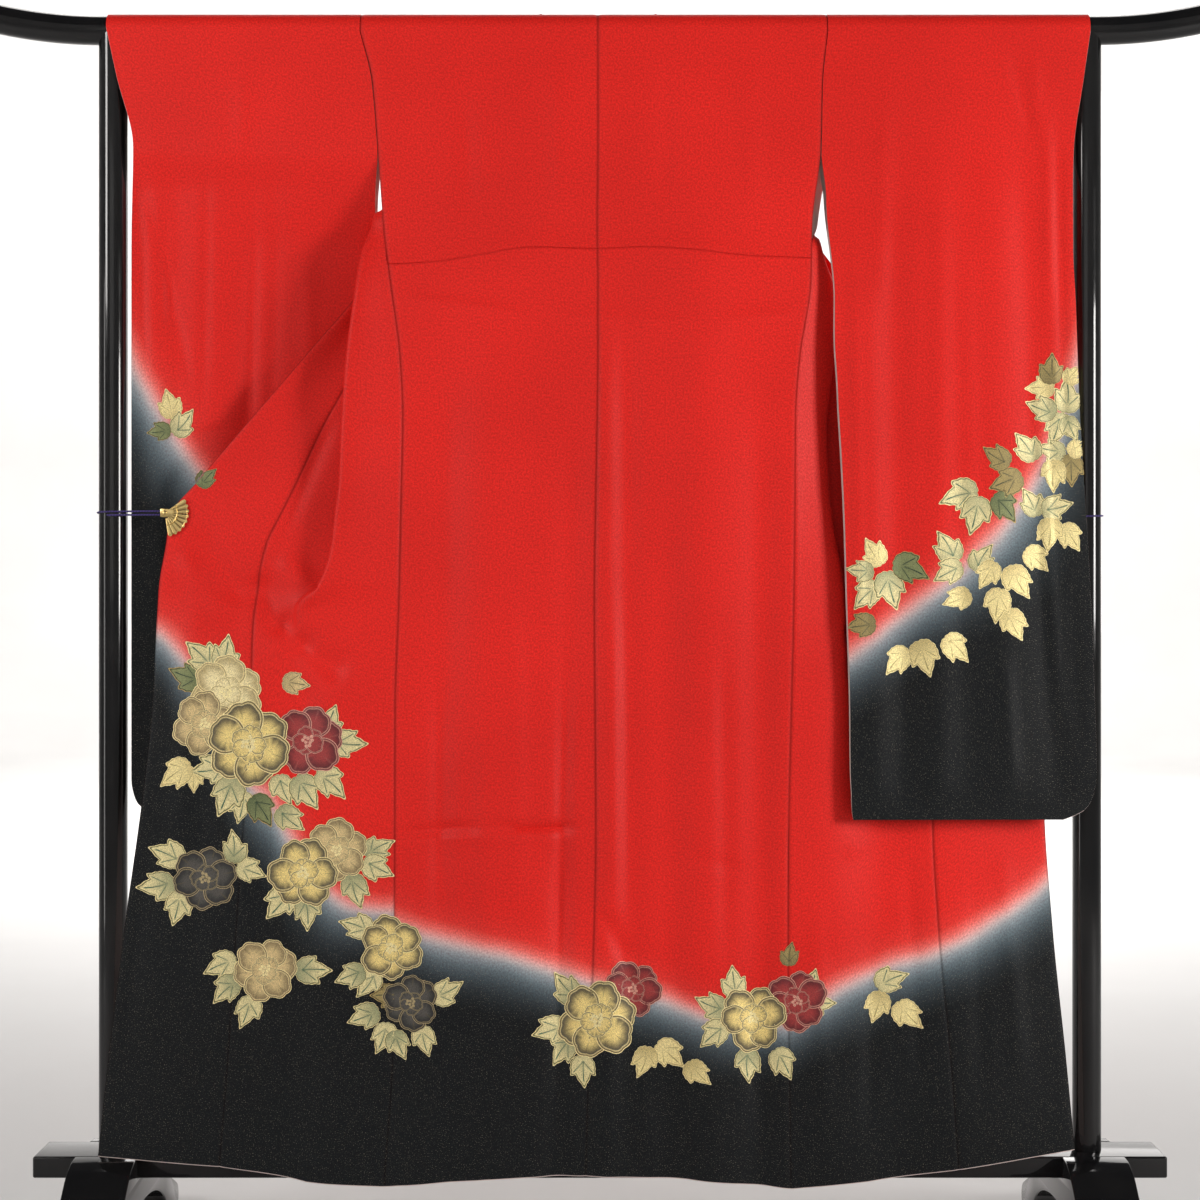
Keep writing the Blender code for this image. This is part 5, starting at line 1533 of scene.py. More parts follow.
def add_fan_ribs(shape, side):
    """Each rib is a crowned slat that widens to a rounded outer end."""
    first, last = math.radians(FAN_FIRST_DEGREES), math.radians(FAN_LAST_DEGREES)
    pitch = (last - first) / FAN_RIBS
    for rib in range(FAN_RIBS):
        middle = first + pitch * (rib + 0.5)
        made = bmesh.ops.create_grid(
            shape, x_segments=RIB_STEPS_ACROSS, y_segments=RIB_STEPS_ALONG, size=0.5)["verts"]
        top = {}
        for vert in made:
            wide, along = vert.co.x * 2, vert.co.y + 0.5
            rounded = 1 - RIB_END_ROUND * wide * wide * along
            radius = FAN_INNER + (FAN_RADIUS - FAN_INNER) * along * rounded
            turn = middle + pitch * wide * (0.5 - RIB_GAP_SHARE * along)
            crown = FAN_RIB_RISE * (1 - wide * wide) * (RIB_INNER_CROWN + (1 - RIB_INNER_CROWN) * along)
            top[vert] = fan_place(side, turn, radius, FAN_PLATE * RIB_THICK_SHARE + crown)
        for vert, place in top.items():
            vert.co = place
        faces = list(dict.fromkeys(face for vert in made for face in vert.link_faces))
        below = bmesh.ops.extrude_face_region(shape, geom=faces)["geom"]
        lower = [piece for piece in below if isinstance(piece, bmesh.types.BMVert)]
        bmesh.ops.translate(shape, verts=lower, vec=(0, FAN_PLATE * RIB_THICK_SHARE, 0))


def add_fan_arc(shape, side, radius, thick):
    """A raised ring of wire across the ribs."""
    first, last = math.radians(FAN_FIRST_DEGREES), math.radians(FAN_LAST_DEGREES)
    made = bmesh.ops.create_grid(shape, x_segments=FAN_ARC_SIDES, y_segments=FAN_ARC_STEPS, size=0.5)["verts"]
    for vert in made:
        round_turn = (vert.co.x + 0.5) * 2 * math.pi
        turn = first + (last - first) * (FAN_ARC_START_SHARE + FAN_ARC_SHARE * (vert.co.y + 0.5))
        lift = FAN_PLATE + FAN_RIB_RISE * 0.8 + thick * math.sin(round_turn)
        vert.co = fan_place(side, turn, radius + thick * math.cos(round_turn), lift)
    bmesh.ops.remove_doubles(shape, verts=made, dist=SAME_PLACE)


def make_clip(side):
    """A gilt spring clip: ribbed fan before the cloth, knuckle past its edge and jaw behind the collar."""
    hub = CLIP_PLACES[side]
    toward = -OUTWARD[side]
    shape = bmesh.new()
    add_fan_ribs(shape, side)
    for share, thick in FAN_ARCS:
        add_fan_arc(shape, side, FAN_RADIUS * share, thick)
    edge = float(FRONTS[side].at(np.array(hub[1] - KNUCKLE_HALF))["edge_x"])
    at_edge = cloth_face(side, edge, hub[1])
    face = min(at_edge, cloth_face(side, edge + toward * HUB_REACH, hub[1])) - CLIP_CLEAR
    deepest = max(at_edge, cloth_face(side, edge + toward * JAW_REACH, hub[1]))
    jaw = deepest + WALL + HALF_WALL + COLLAR_BEHIND + CLIP_CLEAR
    outside = hub[0] - toward * KNUCKLE_OUT
    for ends, depths, half in (
        ((outside, edge - toward * KNUCKLE_IN), (face - HUB_THICK / 2, jaw + JAW_THICK / 2), KNUCKLE_HALF),
        ((outside, edge + toward * JAW_REACH), (jaw, jaw + JAW_THICK), JAW_HALF),
        ((outside, hub[0] + toward * HUB_REACH), (face - HUB_THICK, face), JAW_HALF),
    ):
        low = (min(ends), depths[0], hub[1] - half)
        high = (max(ends), depths[1], hub[1] + half)
        add_shape(shape, box_shape(low, high, CLIP_EDGE_ROUND, 2))
    rivet = bmesh.ops.create_uvsphere(shape, u_segments=20, v_segments=10, radius=RIVET_RADIUS)["verts"]
    for vert in rivet:
        vert.co = Vector((hub[0] + vert.co.x, face - HUB_THICK + vert.co.y * RIVET_FLAT, hub[1] + vert.co.z))
    piece_from("fan_clip_" + side, shape, "metal", "clip_" + side, 35)


def cord_route(side):
    """Out from the clip's knuckle, once round the post, and back to the clip just below."""
    toward = -OUTWARD[side]
    hub = CLIP_PLACES[side]
    edge_y = float(FRONTS[side].at(np.array(hub[1]))["edge_y"])
    start = (hub[0] - toward * (KNUCKLE_OUT + CORD_OFF_CLIP), edge_y + CORD_BEHIND_EDGE)
    post = (-toward * POST_X, 0.0)
    turn_radius = POST_RADIUS + CORD_RADIUS + CORD_OFF_POST
    away = (start[0] - post[0], start[1] - post[1])
    facing = math.atan2(away[1], away[0])
    spread = math.acos(turn_radius / math.hypot(*away))
    first = facing - spread
    top = hub[1] + CORD_DROP / 2
    turn = []
    for step in range(CORD_TURN_STEPS + 1):
        share = step / CORD_TURN_STEPS
        angle = first - 2 * math.pi * share
        x = post[0] + turn_radius * math.cos(angle)
        y = post[1] + turn_radius * math.sin(angle)
        turn.append(Vector((x, y, top - CORD_DROP * share)))
    leaving = Vector((*start, top))
    returning = Vector((*start, top - CORD_DROP))
    shares = [step / CORD_STRAIGHT_STEPS for step in range(CORD_STRAIGHT_STEPS)]
    out = [leaving.lerp(turn[0], share) for share in shares]
    home = [returning.lerp(turn[-1], share) for share in reversed(shares)]
    return out + turn + home


def make_tie(side):
    """The plaited cord from the clip round its post, with its map along and round it."""
    path = np.array(cord_route(side))
    places, turn = ring_places(path, CORD_RADIUS, CORD_SIDES, np.array((0.0, 0.0, 1.0)))
    mesh, row, column = grid_mesh("purple_tie_" + side, places)
    along = running_length(path[:, None], 0)[:, 0]
    set_uv(mesh, CORD_RADIUS * turn[column], along[row])
    shape = closed_tube(mesh, SAME_PLACE)
    bpy.data.meshes.remove(mesh)
    piece_from("purple_tie_" + side, shape, "cord", "tie_" + side, 60)


# Painted flowers and leaves
# Places are pixels of the photograph, across and down, read back through the camera; sizes are metres.
PICTURE_SIZE = 1200
PICTURE_MIDDLE = PICTURE_SIZE / 2
PICTURE_PIXEL = SENSOR_MM / LENS_MM * CAMERA_BACK / PICTURE_SIZE
PAINT_LIFT = 0.00060
LAYER_LIFT = 0.00004
SEAM_SPAN = 0.0012
MOST_STRETCH = 3.2
STRETCH_ALLOWED = 0.0008
LEAF_STEPS = 40
PETAL_STEPS = 40
STAMENS = 9
STAMEN_STEPS = 10
FIRST_FLOWER_LAYER = 4
LAYERS_A_FLOWER = 8

# A leaf's outline: turn from the tip in degrees and reach as a share of the tip's.
LEAF_OUTLINE = (
    (0, 1.0), (8, 0.82), (17, 0.72), (26, 0.60), (31, 0.565), (42, 0.70), (53, 0.58), (72, 0.48), (100, 0.38),
    (140, 0.28), (180, 0.22),
)
LEAF_BULGE = 0.022
LEAF_MIDDLE = 0.22
LEAF_VEINS = (-42.0, 0.0, 42.0)
LEAF_UNEVEN = 0.10
LEAF_BEND = 0.9
LEAF_BEND_SHARE = 0.35
LEAF_BASE_SHADE = 0.85
VEIN_GREEN_DEGREES = 24
VEIN_LINE_DEGREES = 1.5
VEIN_END_SHARE = 0.80

# Rings of a drawn shape, from its middle to its rim: share of the reach, and which line is drawn there.
RINGS = (
    (0.0, None), (0.18, None), (0.34, None), (0.48, None), (0.60, None), (0.71, None), (0.80, None),
    (0.845, "inner"), (0.875, "inner"), (0.90, "gap"), (0.945, "gap"), (0.962, "rim"), (1.0, "rim"),
)

GILT_PALE = (0.92, 0.78, 0.42)
GILT_MID = (0.46, 0.34, 0.13)
GILT_DARK = (0.12, 0.095, 0.045)
LEAF_GREEN = (0.035, 0.12, 0.075)

# What each kind of drawing is coloured with: body, shade, vein, gap and rim, and how metallic it is.
STYLES = {
    "leaf": ((0.74, 0.66, 0.36), (0.13, 0.19, 0.11), LEAF_GREEN, (0.16, 0.16, 0.06), GILT_PALE, 0.40),
    "bright": (
        (0.84, 0.71, 0.35), (0.44, 0.35, 0.14), (0.42, 0.33, 0.13), (0.52, 0.41, 0.17), GILT_PALE, 0.50,
    ),
    "green": (
        (0.22, 0.25, 0.11), (0.050, 0.085, 0.040), (0.012, 0.035, 0.022), (0.055, 0.06, 0.022),
        GILT_MID, 0.35,
    ),
    "dull": (
        (0.36, 0.28, 0.11), (0.15, 0.13, 0.06), (0.07, 0.075, 0.04), (0.10, 0.085, 0.035), GILT_MID, 0.50,
    ),
    "gold": ((0.86, 0.68, 0.27), (0.085, 0.072, 0.045), GILT_DARK, (0.15, 0.115, 0.045), GILT_PALE, 0.55),
    "tan": ((0.68, 0.53, 0.27), (0.27, 0.20, 0.10), GILT_DARK, (0.22, 0.16, 0.08), GILT_PALE, 0.50),
    "cream": ((0.84, 0.73, 0.42), (0.44, 0.35, 0.17), GILT_MID, (0.40, 0.32, 0.16), GILT_PALE, 0.45),
    "plum": (
        (0.34, 0.034, 0.034), (0.12, 0.008, 0.012), (0.36, 0.10, 0.09), (0.17, 0.018, 0.024),
        (0.66, 0.34, 0.27), 0.15,
    ),
    "silver": (
        (0.080, 0.076, 0.070), (0.014, 0.014, 0.015), GILT_DARK, (0.020, 0.019, 0.018),
        (0.42, 0.34, 0.19), 0.30,
    ),
}

# The flowers. Columns: style, across, down, radius, turn of the first petal, and level in its bunch.
FLOWERS = (
    ("cream", 226, 692, 0.052, 20, 0), ("tan", 204, 724, 0.046, 200, 1), ("plum", 308, 741, 0.050, 10, 0),
    ("gold", 249, 744, 0.061, 40, 2), ("silver", 205, 878, 0.046, 75, 0), ("tan", 337, 850, 0.045, 20, 0),
    ("gold", 303, 873, 0.050, 60, 1), ("tan", 265, 970, 0.046, 10, 0), ("gold", 391, 948, 0.046, 95, 1),
    ("silver", 411, 1003, 0.040, 30, 0), ("plum", 633, 989, 0.041, 50, 0), ("gold", 597, 1020, 0.056, 15, 1),
    ("plum", 797, 1001, 0.044, 80, 0), ("gold", 753, 1018, 0.047, 70, 1),
)

# The leaves. Columns: style, across, down, length, and where the tip points, in degrees up from the right.
LEAVES = (
    ("bright", 170, 405, 0.043, 105), ("leaf", 184, 425, 0.044, 40), ("green", 160, 432, 0.034, 190),
    ("green", 206, 478, 0.034, 60),
    ("leaf", 203, 656, 0.056, 130), ("leaf", 226, 655, 0.052, 66), ("green", 187, 677, 0.050, 170),
    ("green", 199, 738, 0.054, 160), ("bright", 176, 772, 0.052, 205), ("bright", 193, 779, 0.036, 265),
    ("leaf", 212, 771, 0.054, 200), ("leaf", 227, 795, 0.060, 250), ("leaf", 282, 789, 0.046, 280),
    ("leaf", 306, 791, 0.056, 305), ("leaf", 331, 782, 0.054, 330), ("leaf", 329, 722, 0.048, 60),
    ("leaf", 347, 745, 0.052, 345), ("green", 262, 809, 0.050, 310), ("leaf", 243, 806, 0.046, 268),
    ("leaf", 288, 820, 0.048, 312),
    ("leaf", 168, 854, 0.052, 150), ("leaf", 158, 887, 0.054, 200), ("leaf", 178, 907, 0.050, 260),
    ("leaf", 235, 848, 0.046, 80), ("leaf", 250, 871, 0.044, 340),
    ("leaf", 377, 847, 0.046, 40), ("leaf", 377, 868, 0.048, 330), ("leaf", 353, 890, 0.050, 275),
    ("leaf", 282, 903, 0.056, 235), ("leaf", 308, 911, 0.050, 285),
    ("leaf", 221, 964, 0.050, 195), ("leaf", 226, 989, 0.048, 215), ("leaf", 248, 1011, 0.048, 262),
    ("leaf", 312, 969, 0.052, 5),
    ("leaf", 358, 925, 0.048, 150), ("leaf", 351, 975, 0.046, 200), ("leaf", 370, 984, 0.046, 245),
    ("dull", 387, 995, 0.044, 180), ("leaf", 447, 993, 0.048, 15), ("leaf", 365, 1017, 0.048, 205),
    ("leaf", 384, 1037, 0.046, 262), ("leaf", 398, 1044, 0.044, 285), ("leaf", 423, 1040, 0.044, 275),
    ("leaf", 566, 989, 0.050, 140), ("leaf", 551, 1031, 0.050, 205), ("leaf", 562, 1048, 0.048, 225),
    ("leaf", 583, 1070, 0.046, 268), ("bright", 646, 1061, 0.046, 262), ("bright", 669, 1054, 0.050, 320),
    ("bright", 697, 1073, 0.044, 300),
    ("leaf", 734, 983, 0.046, 100), ("leaf", 712, 1007, 0.048, 170), ("leaf", 714, 1034, 0.048, 215),
    ("leaf", 746, 1064, 0.048, 262), ("leaf", 784, 1062, 0.048, 305), ("dull", 789, 955, 0.034, 90),
    ("leaf", 812, 986, 0.044, 60), ("leaf", 820, 1003, 0.042, 350), ("leaf", 890, 979, 0.048, 35),
    ("bright", 878, 1006, 0.046, 255), ("bright", 907, 1015, 0.050, 300),
    ("dull", 1052, 370, 0.044, 90), ("bright", 1072, 374, 0.034, 60), ("bright", 1041, 387, 0.042, 180),
    ("leaf", 1069, 397, 0.050, 80), ("leaf", 1042, 410, 0.046, 165), ("leaf", 1058, 428, 0.048, 262),
    ("leaf", 1070, 428, 0.038, 285), ("leaf", 1028, 447, 0.048, 120), ("leaf", 1052, 451, 0.042, 180),
    ("bright", 1077, 447, 0.034, 40), ("bright", 1052, 474, 0.046, 255), ("dull", 1071, 469, 0.046, 270),
    ("dull", 997, 459, 0.044, 160), ("dull", 1007, 481, 0.050, 200), ("leaf", 960, 494, 0.056, 185),
    ("leaf", 976, 514, 0.056, 262), ("green", 1005, 506, 0.048, 320), ("leaf", 1032, 503, 0.044, 110),
    ("leaf", 1056, 509, 0.046, 5), ("bright", 1051, 533, 0.048, 275), ("bright", 1071, 536, 0.044, 310),
    ("leaf", 950, 547, 0.050, 110), ("leaf", 949, 572, 0.046, 205), ("leaf", 981, 558, 0.044, 70),
    ("bright", 988, 574, 0.044, 240), ("bright", 1017, 581, 0.052, 285), ("bright", 1036, 559, 0.044, 320),
    ("bright", 959, 600, 0.042, 215), ("bright", 997, 604, 0.050, 255), ("bright", 1012, 624, 0.048, 285),
    ("bright", 873, 554, 0.044, 130), ("leaf", 861, 571, 0.040, 185), ("leaf", 866, 594, 0.048, 215),
    ("leaf", 890, 589, 0.056, 280), ("green", 910, 568, 0.054, 350), ("dull", 862, 626, 0.044, 190),
    ("bright", 897, 659, 0.046, 215), ("bright", 924, 657, 0.054, 290), ("bright", 957, 646, 0.048, 325),
)
LOOSE_PETALS = (("tan", 288, 682, 0.040, 350), ("dull", 796, 1018, 0.034, 20))

# The circles of a flower's petals. Columns: petals, turn of the first, sway, how each one's sway differs,
# place and size as shares of the flower's radius, lowest layer, and how far out the dark part starts.
PETAL_CIRCLES = (
    (6, 0, 7, 2.9, 0.54, 0.45, 0, 0.29),
    (5, 30, 8, 3.7, 0.20, 0.23, 3, 0.20),
)
PETAL_SIZE_SWAY = 0.03
PETAL_RIPPLE = 0.13
PETAL_BROAD = 0.13
PETAL_POINT = 0.30
PETAL_POINT_WIDTH = 0.55
PETAL_RAYS = 0.09
PETAL_SHADE_REACH = 0.40
PETAL_GILT_HEART = 0.42
PETAL_CREASE_TURN = 0.10
STAMEN_OUT = 0.12
STAMEN_OUT_SWAY = 0.05
STAMEN_SIZE = 0.050
STAMEN_GILT = 0.8

# Shapes already drawn, as sheets of places in the rail's plane with their colours.
SHEETS = []


def blend(first, second, share):
    share = np.asarray(share)[..., None]
    return np.asarray(first) * (1 - share) + np.asarray(second) * share


def seen_place(across, down):
    return (across - PICTURE_MIDDLE) * PICTURE_PIXEL, CAMERA_HEIGHT - (down - PICTURE_MIDDLE) * PICTURE_PIXEL


def leaf_reach(turns, lean):
    """How far a leaf reaches at each turn from its tip; lean makes its two sides unlike."""
    knots = np.radians([row[0] for row in LEAF_OUTLINE])
    reaches = np.array([row[1] for row in LEAF_OUTLINE])
    size = np.abs(turns)
    reach = np.interp(size, knots, reaches)
    span = np.clip(np.searchsorted(knots, size) - 1, 0, len(knots) - 2)
    share = (size - knots[span]) / (knots[span + 1] - knots[span])
    return (reach + LEAF_BULGE * np.sin(np.pi * share)) * (1 + lean * np.sin(turns))


def leaf_turns():
    """Turns round a leaf, closer beside its three veins, from one side of its base round to the other."""
    tips = np.radians([row[0] for row in LEAF_OUTLINE[1:]])
    veins = np.radians([vein + side for vein in LEAF_VEINS for side in (-2.6, -1.2, 1.2, 2.6)])
    even = np.linspace(-np.pi, np.pi, LEAF_STEPS + 1)
    return np.unique(np.concatenate((even, tips, -tips, veins)).round(5))


def ring_colours(style, inside, drawn):
    """Colours of a drawn shape: its inside, the gap, and the lines of gold drawn toward the rim."""
    gap, rim, gilt = STYLES[style][3:]
    colours = np.array(inside, float)
    amounts = np.full(colours.shape[:2], gilt)
    for ring, (share, line) in enumerate(RINGS):
        if line in drawn:
            colours[ring] = rim if line == "rim" else blend(rim, gap, 0.35)
            amounts[ring] = max(gilt, 0.55)
        elif line == "gap":
            colours[ring] = gap
    return colours, amounts


def turned(middle, along, aside, degrees):
    """Places of a shape drawn along and aside from its middle, turned up from the right: x and height."""
    cosine, sine = math.cos(math.radians(degrees)), math.sin(math.radians(degrees))
    return middle[0] + along * cosine - aside * sine, middle[1] + along * sine + aside * cosine


def keep_sheet(places, colours, gilt, layer):
    SHEETS.append({"x": places[0], "height": places[1], "colours": colours, "gilt": gilt, "layer": layer})


def draw_leaf(style, middle, length, points, order):
    """A leaf of three lobes with a darker base, veins and a thin gilt rim."""
    reach_size = length / (1 + LEAF_MIDDLE)
    turns = leaf_turns()
    shares = np.array([row[0] for row in RINGS])[:, None]
    reach = leaf_reach(turns, LEAF_UNEVEN * math.sin(order * 2.4))
    along = shares * reach * np.cos(turns) * reach_size
    aside = shares * reach * np.sin(turns) * reach_size
    bend = LEAF_BEND * math.sin(order * 1.7) / length
    aside = aside + bend * along * along * LEAF_BEND_SHARE
    body, shade, vein = STYLES[style][:3]
    toward_base = ease(0.55 - (along / reach_size + LEAF_MIDDLE) / 1.22 + 0.22 * math.sin(order * 3.1))
    inside = blend(body, shade, toward_base * LEAF_BASE_SHADE)
    from_vein = np.min(np.abs(turns[:, None] - np.radians(LEAF_VEINS)), axis=1)
    if style != "bright":
        beside_vein = ease(1 - from_vein / math.radians(VEIN_GREEN_DEGREES))
        inside = blend(inside, vein, beside_vein * ease(0.75 - shares) * 0.9)
    inside[(from_vein < math.radians(VEIN_LINE_DEGREES)) & (shares < VEIN_END_SHARE)] = vein
    keep_sheet(turned(middle, along, aside, points), *ring_colours(style, inside, ("rim",)), order % 3)


def draw_petal(style, flower, radius, turn, out, size, layer, heart):
    """A scalloped petal: pointed toward the flower's heart, round and rippled away from it."""
    turns = np.linspace(-np.pi, np.pi, PETAL_STEPS + 1)
    shares = np.array([row[0] for row in RINGS])[:, None]
    outward = 0.5 + 0.5 * np.cos(turns)
    scallops = PETAL_RIPPLE * np.abs(np.cos(turns * 3.5 + layer * 1.3)) * outward
    ripple = scallops + 0.05 * np.cos(turns * 3 + layer)
    broad = 1 + PETAL_BROAD * np.sin(turns) ** 2
    pointed = PETAL_POINT * np.exp(-(((np.pi - np.abs(turns)) / PETAL_POINT_WIDTH) ** 2))
    reach = size * (0.93 * broad + ripple * outward + pointed) * (0.94 + 0.06 * outward)
    along = out + shares * reach * np.cos(turns)
    aside = shares * reach * np.sin(turns)
    body, shade, vein = STYLES[style][:3]
    away = np.hypot(along, aside) / radius
    rays = PETAL_RAYS * np.cos(turns * 11 + layer)
    darkness = ease((away - heart - rays) / PETAL_SHADE_REACH) * ease(shares * 1.5 - 0.25)
    inside = blend(body, shade, darkness)
    middle = GILT_PALE if style in ("gold", "cream", "tan") else body
    inside = blend(inside, middle, ease(PETAL_GILT_HEART - away) * 0.6)
    creased = (np.abs(turns) < PETAL_CREASE_TURN)[None, :] & (shares > 0.15) & (shares < 0.80)
    inside[creased] = blend(inside[creased], vein, 0.45)
    colours, gilt = ring_colours(style, inside, ("rim", "inner"))
    gilt = gilt * (1 - 0.75 * darkness * (shares < 0.84))
    keep_sheet(turned(flower, along, aside, turn), colours, gilt, layer)


def draw_stamen(style, middle, size, layer):
    turns = np.linspace(-np.pi, np.pi, STAMEN_STEPS + 1)
    shares = np.array((0.0, 0.6, 1.0))[:, None]
    places = (middle[0] + shares * size * np.cos(turns), middle[1] + shares * size * np.sin(turns))
    colours = np.broadcast_to(np.array(STYLES[style][4]), (*places[0].shape, 3)).copy()
    keep_sheet(places, colours, np.full(places[0].shape, STAMEN_GILT), layer)


def draw_flower(style, across, down, radius, turn, level):
    """An open peony: a circle of outer petals, one of small inner petals and a tuft of stamens."""
    middle = seen_place(across, down)
    lowest = FIRST_FLOWER_LAYER + LAYERS_A_FLOWER * level
    for start, (petals, first, sway, apart, out, size, layer, heart) in zip((across, down), PETAL_CIRCLES):
        for petal in range(petals):
            wobble = math.sin(petal * apart + start)
            way = turn + first + petal * 360 / petals + sway * wobble
            reach = radius * (size + PETAL_SIZE_SWAY * wobble)
            draw_petal(style, middle, radius, way, radius * out, reach, lowest + layer + petal % 3, heart)
    for stamen in range(STAMENS):
        way = turn + stamen * 360 / STAMENS
        out = radius * (STAMEN_OUT + STAMEN_OUT_SWAY * math.sin(stamen * 2.2))
        draw_stamen(style, turned(middle, out, 0.0, way), radius * STAMEN_SIZE, lowest + LAYERS_A_FLOWER - 1)


def panel_tree():
    """One tree of every panel's faces, and which panel each face belongs to: none where it is lining."""
    verts, faces, owners = [], [], []
    for node, panel in PANELS.items():
        mesh = panel["piece"].data
        first = len(verts)
        verts.extend(vert.co.copy() for vert in mesh.vertices)
        faces.extend(tuple(first + index for index in face.vertices) for face in mesh.polygons)
        paintable = node != "collar"
        owners.extend(node if paintable and face.material_index == SILK else "" for face in mesh.polygons)
    return BVHTree.FromPolygons(verts, faces), owners


def land_sheet(sheet, tree, owners, eye, way):
    """Carries a drawn sheet onto the first cloth met from the eye, or along way where eye is None."""
    shape = sheet["x"].shape
    places = np.zeros((*shape, 3))
    nodes = np.full(shape, "", dtype=object)
    lift = PAINT_LIFT + LAYER_LIFT * sheet["layer"]
    for spot in np.ndindex(shape):
        through = Vector((sheet["x"][spot], 0.0, sheet["height"][spot]))
        start = eye if eye is not None else through - way * CAMERA_BACK
        ray = (through - start).normalized()
        hits = [tree.ray_cast(start + Vector((aside, 0, 0)), ray) for aside in (0.0, -SEAM_SPAN, SEAM_SPAN)]
        hits = [hit for hit in hits if hit[0] is not None]
        if not hits:
            places[spot] = through
            continue
        nearest = min(hits, key=lambda hit: hit[3])
        places[spot] = start + ray * (nearest[3] - lift)
        nodes[spot] = owners[nearest[2]]
    return places, nodes


def add_sheet(drawings, sheet, places, nodes):
    """Adds the landed sheet to its panels' drawings, without faces that miss or that bridge two layers."""
    mesh, row, column = grid_mesh("sheet", places)
    colours = np.concatenate((sheet["colours"], np.ones((*places.shape[:2], 1))), axis=-1)
    paint = mesh.attributes.new("paint", "FLOAT_COLOR", "POINT")
    paint.data.foreach_set("color", colours[row, column].ravel())
    set_attribute(mesh, "gilt", sheet["gilt"][row, column])
    flat = np.stack((sheet["x"], sheet["height"]), axis=-1)[row, column]
    depth = places[row, column, 1]
    node_of = nodes[row, column]
    wanted = {}
    for face in mesh.polygons:
        corners = list(face.vertices)
        reach = np.ptp(flat[corners], axis=0).max()
        if all(node_of[corners]) and np.ptp(depth[corners]) < MOST_STRETCH * reach + STRETCH_ALLOWED:
            wanted.setdefault(node_of[corners[0]], set()).add(face.index)
    for node, kept in wanted.items():
        part = bmesh.new()
        part.from_mesh(mesh)
        left_out = [face for face in part.faces if face.index not in kept]
        bmesh.ops.delete(part, geom=left_out, context="FACES")
        if node not in drawings:
            drawings[node] = bmesh.new()
        add_shape(drawings[node], part)
    bpy.data.meshes.remove(mesh)


def finish_drawings(drawings, name, way):
    """Makes one piece of each panel's drawings, closed at the middles and facing the viewer."""
    for node, shape in drawings.items():
        bmesh.ops.remove_doubles(shape, verts=shape.verts, dist=SAME_PLACE)
        bmesh.ops.dissolve_degenerate(shape, dist=SHORTEST_EDGE, edges=shape.edges)
        shape.normal_update()
        bmesh.ops.reverse_faces(shape, faces=[face for face in shape.faces if face.normal.dot(way) > 0])
        piece = link(name + "_" + node, mesh_from(name + "_" + node, shape, "painting"))
        place_on_body(piece, None)
        PANELS[node]["with"].append(piece)


def draw_all():
    for order, (style, across, down, length, points) in enumerate(LEAVES):
        back = length * (0.5 - LEAF_MIDDLE / (1 + LEAF_MIDDLE)) * 0.8
        draw_leaf(style, turned(seen_place(across, down), -back, 0.0, points), length, points, order)
    for flower in FLOWERS:
        draw_flower(*flower)
    for order, (style, across, down, length, points) in enumerate(LOOSE_PETALS):
        draw_leaf(style, seen_place(across, down), length, points, order)


def paint_flowers():
    """Lays the drawings on the side that shows, and the same ones on the far side, straight through."""
    draw_all()
    tree, owners = panel_tree()
    eye = Vector((0.0, -CAMERA_BACK, CAMERA_HEIGHT))
    for name, start, way in (("flowers", eye, Vector((0, 1, 0))), ("far_flowers", None, Vector((0, -1, 0)))):
        drawings = {}
        for sheet in SHEETS:
            add_sheet(drawings, sheet, *land_sheet(sheet, tree, owners, start, way))
        finish_drawings(drawings, name, way)


# Stage
STAGE_FLAT = 8.6
STAGE_BEND = 1.8
STAGE_TOP = 7.5
STAGE_BEND_STEPS = 8
STAGE_SIDES = 96


def make_stage():
    """A pale floor that rises into a round wall, so that nothing but the object shows from any side."""
    profile = [(0.0, 0.0)]
    for step in range(STAGE_BEND_STEPS + 1):
        turn = math.pi / 2 * step / STAGE_BEND_STEPS
        profile.append((STAGE_FLAT + STAGE_BEND * math.sin(turn), STAGE_BEND * (1 - math.cos(turn))))
    profile.append((STAGE_FLAT + STAGE_BEND, STAGE_TOP))
    shape = bmesh.new()
    line = [shape.verts.new((radius, 0, height)) for radius, height in profile]
    for first, second in zip(line, line[1:]):
        shape.edges.new((first, second))
    geometry = shape.verts[:] + shape.edges[:]
    bmesh.ops.spin(
        shape, geom=geometry, cent=(0, 0, 0), axis=(0, 0, 1), angle=2 * math.pi, steps=STAGE_SIDES,
        use_merge=True,
    )
    bmesh.ops.remove_doubles(shape, verts=shape.verts, dist=0.0001)
    bmesh.ops.recalc_face_normals(shape, faces=shape.faces)
    floor = link("floor", mesh_from("floor", shape, "floor"))


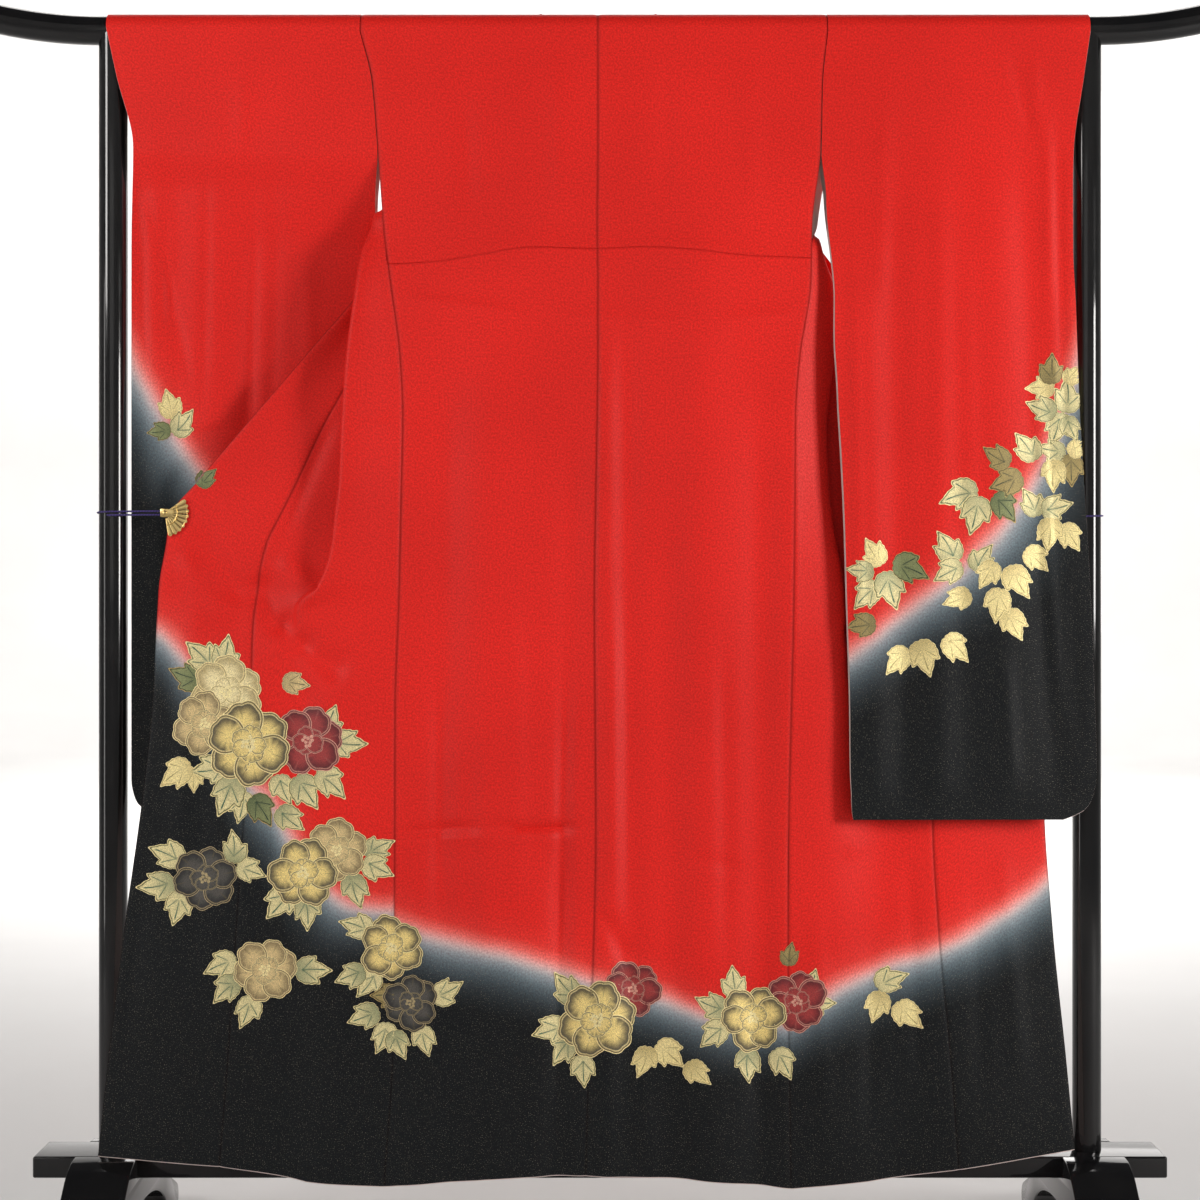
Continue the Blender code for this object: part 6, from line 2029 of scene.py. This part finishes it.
# Lamps: name, place, the place it faces, its width and height, and its power in watts.
LAMPS = (
    ("key_left", (-2.7, -2.2, 2.2), (0.0, 0.0, 0.9), (0.8, 0.9), 40),
    ("key_right", (3.0, -1.8, 1.3), (0.0, 0.0, 0.8), (0.8, 0.9), 70),
    ("soft_front", (-0.6, -3.4, 1.6), (0.0, 0.0, 0.8), (1.8, 1.4), 5),
    ("strip_left", (-2.6, -1.1, 0.9), (-0.1, 0.0, 0.8), (0.4, 1.6), 9),
    ("soft_far", (1.9, 3.0, 1.6), (0.0, 0.0, 0.8), (1.4, 1.6), 12),
    ("overhead", (0.0, 2.4, 3.9), (0.0, 2.6, 0.0), (3.0, 2.0), 60),
    ("floor_far", (0.0, 4.8, 3.2), (0.0, 4.0, 0.0), (4.0, 1.6), 130),
    ("backdrop_far", (0.0, 4.6, 5.4), (0.0, 10.4, 1.0), (6.0, 1.4), 780),
    ("backdrop_near", (0.0, -4.6, 5.4), (0.0, -10.4, 1.6), (6.0, 1.4), 170),
    ("backdrop_left", (-4.6, 0.0, 5.4), (-10.4, 0.0, 1.6), (6.0, 1.4), 70),
    ("backdrop_right", (4.6, 0.0, 5.4), (10.4, 0.0, 1.6), (6.0, 1.4), 70),
)
LAMP_COLOUR = (1.0, 0.975, 0.95)
WORLD_COLOUR = (0.93, 0.95, 1.0, 1.0)
WORLD_STRENGTH = 0.07


def make_lamps():
    for name, place, faces, size, power in LAMPS:
        data = bpy.data.lights.new(name, "AREA")
        data.shape = "RECTANGLE"
        data.size, data.size_y = size
        data.energy = power
        data.color = LAMP_COLOUR
        lamp = link(name, data)
        lamp.location = place
        lamp.rotation_euler = (Vector(faces) - Vector(place)).to_track_quat("-Z", "Y").to_euler()
    world = bpy.data.worlds.new("studio")
    world.use_nodes = True
    background = world.node_tree.nodes["Background"]
    set_sockets(background.inputs, {"Color": WORLD_COLOUR, "Strength": WORLD_STRENGTH})
    bpy.context.scene.world = world
    bpy.context.scene.view_settings.view_transform = "Standard"


def make_camera():
    data = bpy.data.cameras.new("camera")
    data.lens = LENS_MM
    data.sensor_width = SENSOR_MM
    data.clip_end = CAMERA_REACH
    camera = link("camera", data)
    camera.location = (0.0, -CAMERA_BACK, CAMERA_HEIGHT)
    camera.rotation_euler = (math.pi / 2, 0.0, 0.0)
    bpy.context.scene.camera = camera


def declare_cloth():
    for panel in PANELS.values():
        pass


make_back()
make_fronts()
make_sleeves()
make_collar()
for side in ("left", "right"):
    make_clip(side)
    make_tie(side)
make_stand()
paint_flowers()
declare_cloth()
make_stage()
make_lamps()
make_camera()
